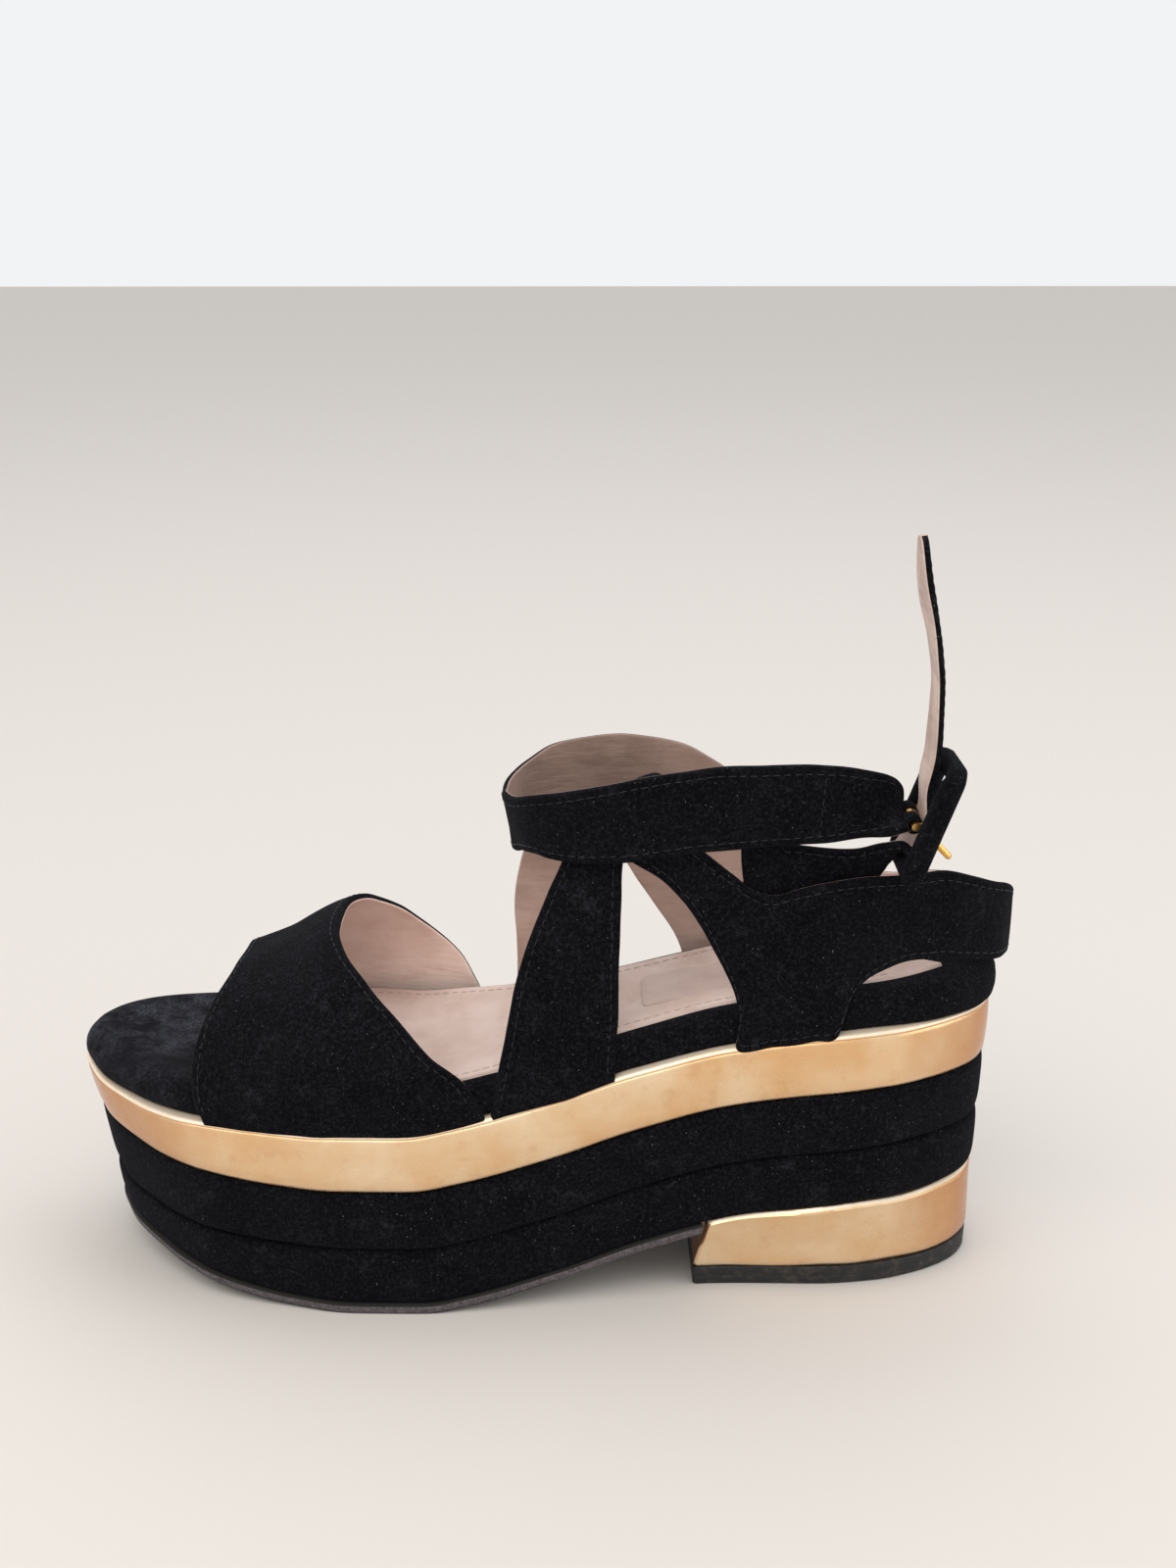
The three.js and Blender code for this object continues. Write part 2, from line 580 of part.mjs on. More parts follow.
function vampSolid() {
  const front = column(vampRows, "front", (row) => row.turn);
  const rear = column(vampRows, "rear", (row) => row.turn);
  const surface = (u, v) => footPoint(front(u) + (rear(u) - front(u)) * v, u);
  return seated(strapSolid(surface, 28, 6, -1));
}

// A strap between two smooth edges that share the rows of its table
function placed(point) {
  if (point.isVector3) return point;
  if (Array.isArray(point)) {
    const x = -soleLength / 2 + point[0] * soleLength;
    return new THREE.Vector3(x, point[1] * ankleHalfWidth, heelSeat + point[2] * strapRise);
  }
  const [x, y, z] = wallPoint(point.at, point.side, bandTop(point.at) - strapSink, -strapProud);
  return new THREE.Vector3(x, y, z);
}
function ribbonSurface(rows) {
  const edge = (key) => new THREE.CatmullRomCurve3(rows.map((row) => placed(row[key])), false, "centripetal");
  const low = edge("low");
  const high = edge("high");
  return (u, v) => low.getPoint(u).lerp(high.getPoint(u), v);
}

function crossStraps() {
  const quarters = strapSolid(ribbonSurface(quarterRows), 2 * (quarterRows.length - 1), 4, 1);
  const riser = strapSolid(ribbonSurface(riserRows), 2 * (riserRows.length - 1), 4, -1);
  return seated(geometryOf(solid(quarters).add(solid(riser))));
}

// The buckle is built flat, with its length along Z and its width along Y, and then tilted.
const tilt = THREE.MathUtils.degToRad(frameTilt);
const buckleAt = placed(buckleCentre);
const barAt = new THREE.Vector3(-barOffset, 0, 0);
const buckle = new THREE.Group();
buckle.position.copy(buckleAt);

function rodAlongY(diameter, length, sides = 12) {
  return new THREE.CylinderGeometry(diameter / 2, diameter / 2, length, sides);
}

// The frame's outline with a rounded window, extruded by its thickness and tilted back.
function frameGeometry() {
  const rounded = (path, width, length, radius) => {
    const w = width / 2;
    const l = length / 2;
    path.moveTo(w - radius, -l);
    path.absarc(w - radius, -l + radius, radius, -Math.PI / 2, 0, false);
    path.absarc(w - radius, l - radius, radius, 0, Math.PI / 2, false);
    path.absarc(-w + radius, l - radius, radius, Math.PI / 2, Math.PI, false);
    path.absarc(-w + radius, -l + radius, radius, Math.PI, 1.5 * Math.PI, false);
    return path;
  };
  const outline = rounded(new THREE.Shape(), frameWidth, frameLength, frameLeg);
  const windowWidth = frameWidth - 2 * frameLeg;
  const windowLength = frameLength - 2 * frameLeg;
  outline.holes.push(rounded(new THREE.Path(), windowWidth, windowLength, windowRadius));
  const geometry = new THREE.ExtrudeGeometry(outline, {
    depth: frameThickness - 2 * frameBevel,
    bevelSize: frameBevel,
    bevelOffset: -frameBevel,
    bevelThickness: frameBevel,
    bevelSegments: 1,
    curveSegments: 4,
  });
  geometry.translate(0, 0, frameBevel - frameThickness / 2);
  geometry.rotateX(Math.PI / 2).rotateZ(Math.PI / 2).rotateY(tilt);
  return geometry;
}

// The bar stands left of the frame, on two short ears inside its long legs.
function barGeometry() {
  const bar = solid(rodAlongY(barDiameter, barLength).translate(barAt.x, 0, 0));
  const earLength = barOffset + earFront + earBack;
  const ears = [-1, 1].map((side) => {
    const ear = new THREE.BoxGeometry(earLength, earThickness, barDiameter);
    ear.translate((barAt.x + earFront - earBack) / 2, (side * (barLength - earThickness)) / 2, 0);
    return solid(ear);
  });
  return geometryOf(ears.reduce((joined, ear) => joined.add(ear), bar));
}

// The prong's eye turns on the bar and its pin points down through the tip strap's hole.
function prongSolid(clearance = 0) {
  const radius = prongDiameter / 2 + clearance;
  const pin = new THREE.CapsuleGeometry(radius, prongReach, 3, 10);
  pin.translate(0, -prongReach / 2 - barDiameter / 2 - radius, 0);
  pin.rotateX(Math.PI / 2).rotateY(-pinSlope).translate(barAt.x, 0, 0);
  return solid(pin);
}
function prongGeometry() {
  const eye = solid(rodAlongY(barDiameter + 2 * seatGap + 2 * eyeWall, eyeWidth).translate(barAt.x, 0, 0));
  const hole = solid(rodAlongY(barDiameter + 2 * seatGap, 2 * eyeWidth).translate(barAt.x, 0, 0));
  return geometryOf(eye.add(prongSolid()).subtract(hole));
}

// The ankle strap's end is folded round the bar, with a notch for the prong's eye.
const wrapRadius = barDiameter / 2 + seatGap + barWrap;
function ankleStrap() {
  const at = buckleAt.clone().add(barAt);
  const endPoint = (side) => new THREE.Vector3(at.x - foldBack, at.y + (side * loopWidth) / 2, at.z);
  const rows = [{ low: endPoint(-1), high: endPoint(1) }, ...ankleRows];
  const strap = solid(strapSolid(ribbonSurface(rows), 2 * (rows.length - 1), 4, -1));
  const round = (diameter, length) => solid(rodAlongY(diameter, length).translate(at.x, at.y, at.z));
  const wrap = round(2 * wrapRadius, loopWidth);
  const hole = round(barDiameter + 2 * seatGap, 2 * loopWidth);
  const notch = new THREE.BoxGeometry(4 * wrapRadius, eyeWidth + 2 * seatGap, 4 * wrapRadius);
  return geometryOf(strap.add(wrap).subtract(hole).subtract(solid(notch.translate(at.x, at.y, at.z))));
}

function tipStrap() {
  const rise = tipRiseRows.map((row) => {
    const x = buckleAt.x + row.along * tipRise;
    const z = buckleAt.z + row.up * tipRise;
    const half = (row.width * tipWidth) / 2;
    return {
      low: new THREE.Vector3(x, buckleAt.y + half, z),
      high: new THREE.Vector3(x, buckleAt.y - half, z),
    };
  });
  const rows = [...tipRunRows, ...rise];
  const strap = solid(strapSolid(ribbonSurface(rows), 2 * (rows.length - 1), 3, 1));
  return geometryOf(strap.subtract(prongSolid(seatGap).translate(buckleAt.toArray())));
}

// Materials by what the real piece is made of
function finish(color, roughness, metalness = 0) {
  return new THREE.MeshStandardMaterial({ color, roughness, metalness });
}
const blackSuede = finish(0x121216, 0.95);
const goldLeather = finish(0xd9b27c, 0.35, 0.85);
const nudeLeather = finish(0xd9bcb0, 0.6);
const blackRubber = finish(0x1b1c1e, 0.7);
const wornOutsole = finish(0x55524f, 0.85);
const goldMetal = finish(0xc98a2b, 0.25, 1);

const sandal = new THREE.Group();
function add(name, geometry, material, parent = sandal) {
  const mesh = new THREE.Mesh(geometry, material);
  mesh.name = name;
  parent.add(mesh);
}

add("top_lift", topLift, blackRubber);
add("heel_block", leaningHeel(), goldLeather);
add("outsole", outsole, wornOutsole);
add("platform_lower", platformLower, blackSuede);
add("platform_upper", platformUpper, blackSuede);
add("midsole_band", midsoleBand, goldLeather);
add("footbed", footbedSolid(), blackSuede);
add("sock", sockSolid(), nudeLeather);
add("vamp_strap", vampSolid(), blackSuede);
add("cross_straps", crossStraps(), blackSuede);
add("ankle_strap", ankleStrap(), blackSuede);
add("tip_strap", tipStrap(), blackSuede);
add("buckle_frame", frameGeometry(), blackSuede, buckle);
add("buckle_bar", barGeometry(), goldMetal, buckle);
add("buckle_prong", prongGeometry(), goldMetal, buckle);
sandal.add(buckle);

// The origin is under the middle of the whole shoe.
const middle = new THREE.Box3().setFromObject(sandal).getCenter(new THREE.Vector3());
sandal.position.set(-middle.x, -middle.y, 0);

export default sandal;
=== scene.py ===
# Platform sandal, left shoe: the looks of every piece, built up from the floor as the shoe is put together.
# Sizes are in millimetres; the toe points to -X, the lateral side faces -Y and the floor is Z = 0.
import math

import bmesh
import bpy
from mathutils import Matrix, Vector, noise


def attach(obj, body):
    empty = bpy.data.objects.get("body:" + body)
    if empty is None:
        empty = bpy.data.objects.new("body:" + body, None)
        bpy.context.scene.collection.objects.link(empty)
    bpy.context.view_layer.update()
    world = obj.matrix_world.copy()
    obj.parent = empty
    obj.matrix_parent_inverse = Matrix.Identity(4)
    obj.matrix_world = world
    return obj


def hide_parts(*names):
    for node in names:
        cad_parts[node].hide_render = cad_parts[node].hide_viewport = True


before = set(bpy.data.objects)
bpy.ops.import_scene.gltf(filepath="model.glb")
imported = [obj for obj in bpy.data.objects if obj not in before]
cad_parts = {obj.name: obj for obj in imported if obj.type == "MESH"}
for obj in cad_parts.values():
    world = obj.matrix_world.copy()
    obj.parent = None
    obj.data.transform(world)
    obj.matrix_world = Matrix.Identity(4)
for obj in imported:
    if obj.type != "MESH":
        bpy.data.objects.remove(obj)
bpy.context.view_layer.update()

# The camera stands where the photograph was taken, on the lateral side and looking down a little.
# It is a 48 mm lens on a full frame, half a metre from the shoe.
camera_place = Vector((8.6, -536.4, 302.2)) / 1000
camera_pitch = 17.2
camera_yaw = -0.48

camera = bpy.data.objects.new("camera", bpy.data.cameras.new("camera"))
camera.data.lens = 48
camera.data.sensor_width = 36
camera.location = camera_place
camera.rotation_euler = (math.radians(90 - camera_pitch), 0, math.radians(camera_yaw))
bpy.context.scene.collection.objects.link(camera)
bpy.context.scene.camera = camera


# Top lift: the black rubber tread under the heel block, cut a little wider and nailed on.
# It is moulded rubber, so it is matt, with a dusty rim and small nicks from walking.
lift_height = 6
lift_front = 0.671
lift_black = "#1b1c1e"
lift_dust = "#4a4038"

origin_shift = (-3.051, -0.269)
sole_length = 253.5
ball_width = 86
toe_rake = 10.2
toe_rake_bend = 0.8
heel_rake = 3
heel_taper = 0.17
side_rake = 0.6
end_round = 12
heel_rise = 25.5
toe_spring = 9
outsole_height = 2.5
lower_height = 16
upper_height = 17.7
band_height = 16.8

# The sole from toe to heel. Lateral and medial are shares of half the ball width, rise of the heel's rise,
# spring of the toe spring, bed of the footbed's height, dish of its dish and tuck of its inset.
sole_keys = ("at", "lateral", "medial", "rise", "spring", "bed", "dish", "tuck")
sole_rows = [
    (0, -0.31, 0.31, 0, 1, 0.9, 0, 0.15),
    (0.01, -0.09, 0.6, 0, 0.97, 0.9, 0.1, 0.2),
    (0.03, 0.15, 0.76, 0, 0.9, 0.9, 0.2, 0.3),
    (0.06, 0.37, 0.86, 0, 0.78, 0.92, 0.4, 0.5),
    (0.1, 0.6, 0.915, 0, 0.58, 0.94, 0.5, 0.8),
    (0.14, 0.745, 0.945, 0, 0.38, 0.96, 0.6, 1),
    (0.219, 0.88, 0.975, 0, 0.08, 1, 0.7, 1),
    (0.289, 0.96, 1, 0, 0, 1, 0.7, 1),
    (0.368, 0.97, 0.95, 0, 0, 1, 0.7, 1),
    (0.418, 0.95, 0.885, 0.07, 0, 1, 0.7, 1),
    (0.517, 0.87, 0.72, 0.29, 0, 1, 0.7, 1),
    (0.616, 0.79, 0.595, 0.57, 0, 1, 0.8, 1),
    (0.715, 0.75, 0.58, 0.8, 0, 1.05, 1, 1),
    (0.815, 0.765, 0.67, 0.93, 0, 1.15, 1.2, 1),
    (0.881, 0.714, 0.665, 0.975, 0, 1.22, 1.3, 0.6),
    (0.925, 0.61, 0.59, 0.992, 0, 1.3, 1.2, -0.2),
    (0.96, 0.475, 0.475, 1, 0, 1.33, 1, -0.55),
    (0.983, 0.33, 0.33, 1, 0, 1.35, 0.7, -0.7),
    (1, 0, 0, 1, 0, 1.35, 0.4, -0.75),
]


def rounded_share(at):
    """A share of the length as an angle round the sole, so that its round ends stay round."""
    return math.acos(1 - 2 * min(1, max(0, at))) / math.pi


def stations(first, last, count):
    """Shares of the length between two of them, closer together at the round ends."""
    low = rounded_share(first)
    high = rounded_share(last)
    return [(1 - math.cos(math.pi * (low + (high - low) * i / (count - 1)))) / 2 for i in range(count)]


def smooth_column(rows, column, place=rounded_share):
    """A smooth curve through one column of a table, over its first, without overshoot between rows."""
    t = [place(row[0]) for row in rows]
    v = [row[column] for row in rows]
    slope = [(v[i + 1] - v[i]) / (t[i + 1] - t[i]) for i in range(len(t) - 1)]
    tangent = []
    for i in range(len(t)):
        before, after = slope[max(0, i - 1)], slope[min(len(slope) - 1, i)]
        tangent.append(0 if before * after <= 0 else 2 * before * after / (before + after))

    def value(x):
        i = next((k for k, edge in enumerate(t) if edge >= x), len(t)) - 1
        i = max(0, i)
        if i >= len(t) - 1:
            return v[-1]
        span = t[i + 1] - t[i]
        s = min(1, max(0, (x - t[i]) / span))
        start = (1 + 2 * s) * (1 - s) ** 2 * v[i] + s * (1 - s) ** 2 * span * tangent[i]
        return start + s * s * (3 - 2 * s) * v[i + 1] - s * s * (1 - s) * span * tangent[i + 1]

    return value


sole_columns = {key: smooth_column(sole_rows, k) for k, key in enumerate(sole_keys) if k}


def sole(key, at):
    return sole_columns[key](rounded_share(at))


def level(at, height, spring):
    """Height of a level of the stack at a station, from its height under the ball of the foot."""
    return height + heel_rise * sole("rise", at) + toe_spring * spring * sole("spring", at)


def sole_bottom(at):
    return level(at, 0, 1)


def lower_bottom(at):
    return level(at, outsole_height, 1)


def groove(at):
    return level(at, outsole_height + lower_height, 0.35)


def band_bottom(at):
    return level(at, outsole_height + lower_height + upper_height, 0.6)


def band_top(at):
    return level(at, outsole_height + lower_height + upper_height + band_height, 0.06)


def half_width(at):
    return (sole("medial", at) + sole("lateral", at)) * ball_width / 4


def centre_line(at):
    return (sole("medial", at) - sole("lateral", at)) * ball_width / 4


def wall_point(at, across, z, inset=0):
    """A point of the sole's raked wall; across runs from -1, the lateral wall, to 1."""
    depth = max(0, 1 - z / band_top(at))
    toe = toe_rake * depth**toe_rake_bend + inset
    heel = heel_rake * depth + inset
    half = half_width(at)
    taken = (side_rake * depth + inset) * min(1, half / end_round)
    x = -sole_length / 2 + toe + at * (sole_length - toe - heel)
    return Vector((x, centre_line(at) + across * (half - taken), z))


def add_piece(name, points, faces, materials, slots=None, sharp=50):
    """A mesh object from points in millimetres, smooth but for edges sharper than the angle."""
    mesh = bpy.data.meshes.new(name)
    shift = Vector((*origin_shift, 0))
    mesh.from_pydata([(p + shift) / 1000 for p in points], [], faces)
    for material in materials:
        mesh.materials.append(material)
    if slots:
        mesh.polygons.foreach_set("material_index", slots)
    welded = bmesh.new()
    welded.from_mesh(mesh)
    bmesh.ops.remove_doubles(welded, verts=welded.verts, dist=2e-6)
    bmesh.ops.dissolve_degenerate(welded, edges=welded.edges, dist=1e-6)
    welded.to_mesh(mesh)
    welded.free()
    mesh.shade_smooth()
    mesh.set_sharp_from_angle(angle=math.radians(sharp))
    piece = bpy.data.objects.new(name, mesh)
    bpy.context.scene.collection.objects.link(piece)
    return piece


def loft(rings, closed=False):
    """Points and faces of a form through rings of points, capped at both ends or closed into a hoop."""
    count = len(rings[0])
    points = [p for ring in rings for p in ring]
    faces = []
    for i in range(len(rings) if closed else len(rings) - 1):
        for j in range(count):
            a, b = i * count + j, i * count + (j + 1) % count
            faces.append((a, b, (b + count) % len(points), (a + count) % len(points)))
    if not closed:
        faces.append(tuple(reversed(range(count))))
        faces.append(tuple(range(len(points) - count, len(points))))
    if signed_volume(points, faces) < 0:
        faces = [tuple(reversed(face)) for face in faces]
    return points, faces


def signed_volume(points, faces):
    total = 0
    for face in faces:
        for k in range(1, len(face) - 1):
            total += points[face[0]].dot(points[face[k]].cross(points[face[k + 1]]))
    return total


def linear(hex_colour, alpha=1):
    """A linear colour from an sRGB hex value."""
    parts = [int(hex_colour[i : i + 2], 16) / 255 for i in (1, 3, 5)]
    return (*[c / 12.92 if c <= 0.04045 else ((c + 0.055) / 1.055) ** 2.4 for c in parts], alpha)


def node(tree, kind, settings=None, links=None):
    """Adds one node: settings are its properties or its sockets' values, links are what feeds its sockets."""
    made = tree.nodes.new(kind)
    for key, value in (settings or {}).items():
        if isinstance(key, int) or key in made.inputs:
            made.inputs[key].default_value = value
        else:
            setattr(made, key, value)
    for key, source in (links or {}).items():
        tree.links.new(source, made.inputs[key])
    return made


def new_material(name):
    material = bpy.data.materials.new(name)
    material.use_nodes = True
    material.node_tree.nodes.clear()
    tree = material.node_tree
    place = node(tree, "ShaderNodeTexCoord").outputs["Object"]
    in_mm = node(tree, "ShaderNodeVectorMath", {"operation": "SCALE", "Scale": 1000}, {0: place}).outputs[0]
    return material, tree, in_mm


def finish_material(tree, settings, links):
    shader = node(tree, "ShaderNodeBsdfPrincipled", settings, links)
    node(tree, "ShaderNodeOutputMaterial", links={"Surface": shader.outputs[0]})


def blend_colours(tree, share, first, second):
    """Mixes two colours, each a hex value or a socket, by a share."""
    mix = node(tree, "ShaderNodeMix", {"data_type": "RGBA"})
    for socket, colour in ((6, first), (7, second)):
        if isinstance(colour, str):
            mix.inputs[socket].default_value = linear(colour)
        else:
            tree.links.new(colour, mix.inputs[socket])
    tree.links.new(share, mix.inputs[0])
    return mix.outputs[2]


def shrink(tree, place, size, stretch):
    """Places divided by a size in millimetres, and by more where stretched."""
    scale = [1 / (size * s) for s in stretch]
    return node(tree, "ShaderNodeMapping", {"Scale": scale}, {0: place}).outputs[0]


def clouds(tree, place, size, detail=2, roughness=0.5, stretch=(1, 1, 1)):
    """Soft noise whose features are about size millimetres wide, longer where stretched."""
    settings = {"Scale": 1, "Detail": detail, "Roughness": roughness}
    links = {"Vector": shrink(tree, place, size, stretch)}
    return node(tree, "ShaderNodeTexNoise", settings, links).outputs["Fac"]


def steps(tree, value, low, high):
    """A value spread between two limits."""
    limits = {"From Min": low, "From Max": high}
    return node(tree, "ShaderNodeMapRange", limits, {"Value": value}).outputs[0]


def bump(tree, height, distance, strength=1, normal=None):
    """A bump of a height in millimetres."""
    links = {"Height": height}
    if normal:
        links["Normal"] = normal
    return node(tree, "ShaderNodeBump", {"Distance": distance / 1000, "Strength": strength}, links).outputs[0]


# Moulded rubber: matt black with pale dust rubbed into it and shallow pits.
moulded_rubber, tree, place = new_material("moulded_rubber")
dust = steps(tree, clouds(tree, place, 3, 5, 0.7), 0.5, 0.75)
pits = clouds(tree, place, 0.6, 3)
finish_material(
    tree,
    {"Roughness": 0.62, "IOR": 1.52, "Specular IOR Level": 0.4},
    {"Base Color": blend_colours(tree, dust, lift_black, lift_dust), "Normal": bump(tree, pits, 0.12, 0.6)},
)


def heel_outline(front, z, inset=0, corner=2):
    """The heel's closed outline at a height: straight in front with small round corners, round behind."""
    depth = max(0, 1 - z / lower_bottom(1))
    narrow = 1 - heel_taper * depth
    places = stations(front, 1, 60)
    lateral_side = [wall_point(at, -1, z, inset) for at in places]
    medial_side = [wall_point(at, 1, z, inset) for at in reversed(places)]
    outline = [Vector((p.x, p.y * narrow, z)) for p in lateral_side + medial_side]
    start, end = outline[0], outline[-1]
    eased = corner * 0.3
    cut = [Vector((start.x + inset, start.y + c, z)) for c in (corner, eased)]
    back = [Vector((end.x + inset, end.y - c, z)) for c in (eased, corner)]
    outline[0] = start + Vector((eased + inset, 0, 0))
    outline[-1] = end + Vector((eased + inset, 0, 0))
    return cut + outline + back


# Heights of its wall and how far it is set in there: eased edges and one moulded line.
lift_levels = [(0, 0.5), (0.25, 0.2), (0.6, 0), (2.8, 0), (3, 0.12), (3.2, 0)]
lift_levels += [(lift_height - 0.5, 0), (lift_height - 0.2, 0.15), (lift_height, 0.5)]
points, faces = loft([heel_outline(lift_front, z, into) for z, into in lift_levels])
top_lift = add_piece("top_lift_rubber", points, faces, [moulded_rubber], sharp=40)
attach(top_lift, "root")
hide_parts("top_lift")


# Outsole: a thin sheet of black rubber glued under the forefoot and waist of the sole.
# Its cut edge stands a little proud and is scuffed to a dull grey.
outsole_front_inset = -0.4
outsole_back = 0.68
outsole_black = "#262423"
outsole_scuffed = "#6a6266"


def facing(tree, axis):
    """How squarely a face looks along an axis, either way."""
    normal = node(tree, "ShaderNodeNewGeometry").outputs["Normal"]
    parts = node(tree, "ShaderNodeSeparateXYZ", links={0: normal}).outputs
    return node(tree, "ShaderNodeMath", {"operation": "ABSOLUTE"}, {0: parts[axis]}).outputs[0]


def multiply(tree, first, second):
    return node(tree, "ShaderNodeMath", {"operation": "MULTIPLY"}, {0: first, 1: second}).outputs[0]


# Cut rubber sheet: matt black, scuffed where its edge faces sideways.
cut_rubber, tree, place = new_material("cut_rubber_sheet")
on_edge = steps(tree, facing(tree, 2), 0.75, 0.3)
grit = steps(tree, clouds(tree, place, 0.9, 5, 0.8), 0.3, 0.62)
scuffs = multiply(tree, on_edge, grit)
finish_material(
    tree,
    {"Roughness": 0.85, "IOR": 1.52, "Specular IOR Level": 0.3},
    {
        "Base Color": blend_colours(tree, scuffs, outsole_black, outsole_scuffed),
        "Normal": bump(tree, grit, 0.15),
    },
)

outsole_side = [(0.5, 1), (0.1, 0.8), (0, 0.2), (0.05, -0.5), (0.3, -0.9), (0.9, -1)]


def sole_ring(at, bottom, top, side, inset=0):
    """A ring round the sole at a station, down the lateral side and up the medial one.

    Each pair of side is a distance in from the wall and a share of half the thickness.
    """
    middle, half = (bottom(at) + top(at)) / 2, (top(at) - bottom(at)) / 2
    walls = [(into + inset, middle + share * half) for into, share in side]
    near, far = ([wall_point(at, across, z, into) for into, z in walls] for across in (-1, 1))
    return near + far[::-1]


rings = []
for at in stations(0, outsole_back, 110):
    rings.append(sole_ring(at, sole_bottom, lower_bottom, outsole_side, outsole_front_inset))
points, faces = loft(rings)
outsole = add_piece("outsole_rubber", points, faces, [cut_rubber])
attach(outsole, "root")
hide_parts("outsole")


# Heel block: a moulded block wrapped in metallic leather, its edges folded round top and bottom.
# The leather is stretched smooth, with a few soft dents, and its top fold is painted pale cream as a
# highlight.
block_front = 0.686
block_bottom = 6.1
block_outline_height = 15
block_corner = 2.5
block_edge_roll = 1.2
block_edge_share = 0.12
gold_warm = "#e2b582"
gold_pale = "#f1d8b4"
gold_deep_and_painted_reflection = "#b56f35"
highlight_cream = "#f3e3cf"


# The noise behind the soft waves is seeded once, so that every run gives the same shapes.
noise.seed_set(7)


def wavy(points, size, height, seed=0):
    """Points moved a little by soft noise, as leather or suede lies over what is under it."""
    moved = []
    for p in points:
        moved.append(p + noise.noise_vector(Vector((p.x, p.y, p.z + 37 * seed)) / size) * height)
    return moved


# Metallic leather: calfskin with a foil of rose gold, a soft satin metal with fine grain under it.
# Where it faces the toe or the heel its colour is painted deeper and warmer, a painted darker reflection at
# the ends.
metallic_leather, tree, place = new_material("metallic_leather")
patches = steps(tree, clouds(tree, place, 30, 3, 0.6), 0.35, 0.7)
rubbed = steps(tree, clouds(tree, place, 6, 6, 0.7), 0.55, 0.8)
foil = blend_colours(tree, patches, gold_warm, gold_pale)
# Painted reflection: faces turned towards the toe or the heel are blended towards the deep gold; the random
# rubbed patches below use it too.
foil = blend_colours(tree, steps(tree, facing(tree, 0), 0.25, 1.05), foil, gold_deep_and_painted_reflection)
foil = blend_colours(tree, steps(tree, rubbed, 0, 3), foil, gold_deep_and_painted_reflection)
grain = clouds(tree, place, 0.5, 4, 0.6)
pull = clouds(tree, place, 9, 3, 0.5, (2.5, 2.5, 0.6))
soft = bump(tree, pull, 0.5, 0.5)
finish_material(
    tree,
    {"Metallic": 0.85, "IOR": 1.5, "Coat Weight": 0.25, "Coat Roughness": 0.18},
    {
        "Base Color": foil,
        "Roughness": steps(tree, clouds(tree, place, 2.5, 5, 0.7), -0.35, 2.4),
        "Normal": bump(tree, grain, 0.06, 0.5, soft),
    },
)


def block_ring(share):
    """The block's outline at a share of its height, its front leaning forward towards the floor."""
    ring = []
    past = max(0, abs(2 * share - 1) - 1 + block_edge_share)
    edge = block_edge_roll * past / block_edge_share
    widest = 1 - heel_taper * max(0, 1 - block_outline_height / lower_bottom(1))
    for p in heel_outline(block_front, block_outline_height, edge, block_corner):
        at = p.x / sole_length + 0.5
        high = lower_bottom(at)
        z = block_bottom + share * (high - block_bottom)
        lean = (lift_front - block_front) * sole_length * (1 - share)
        lean *= max(0, (1 - at) / (1 - block_front)) ** 2
        depth = max(0, 1 - z / high)
        wide = (1 - heel_taper * depth) / widest
        ring.append(Vector((p.x + lean, p.y * wide, z)))
    return ring


# The turned folds: the same foil painted pale cream in soft patches, a painted highlight along the top edges.
fold_painted_highlight, tree, place = new_material("foil_fold_painted_highlight")
highlight_mottle = steps(tree, clouds(tree, place, 2.5, 4, 0.7), 0.3, 0.6)
finish_material(
    tree,
    {"Metallic": 0.4, "Roughness": 0.4, "IOR": 1.5},
    {"Base Color": blend_colours(tree, highlight_mottle, gold_pale, highlight_cream)},
)

shares = [0, 0.006, 0.02, 0.05] + [0.1 + 0.1 * i for i in range(9)] + [0.94, 0.962, 0.975, 0.99, 1]
rings = [block_ring(share) for share in shares]
points, faces = loft(rings)
around = len(rings[0])
fold_steps = 3
fold_end = around * (len(rings) - 1)
# The faces of the top fold take the painted highlight material.
slots = [1 if fold_end - around * fold_steps <= k < fold_end else 0 for k in range(len(faces))]
points = wavy(points, 14, 0.5)
heel_block = add_piece("heel_block_leather", points, faces, [metallic_leather, fold_painted_highlight], slots)
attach(heel_block, "root")
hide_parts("heel_block")


# Platform layers: two slabs of light cork and foam, each wrapped in black suede before they are stacked.
# The suede rolls softly over the slabs' edges, so a dark groove runs between them.
suede_dark = "#050507"
suede_lit = "#111115"
suede_rubbed = "#2d2e34"
lint_grey = "#74747b"
nap_sheen = "#8d90a0"
layer_bulge = 1.8
layer_roundness = 3.2


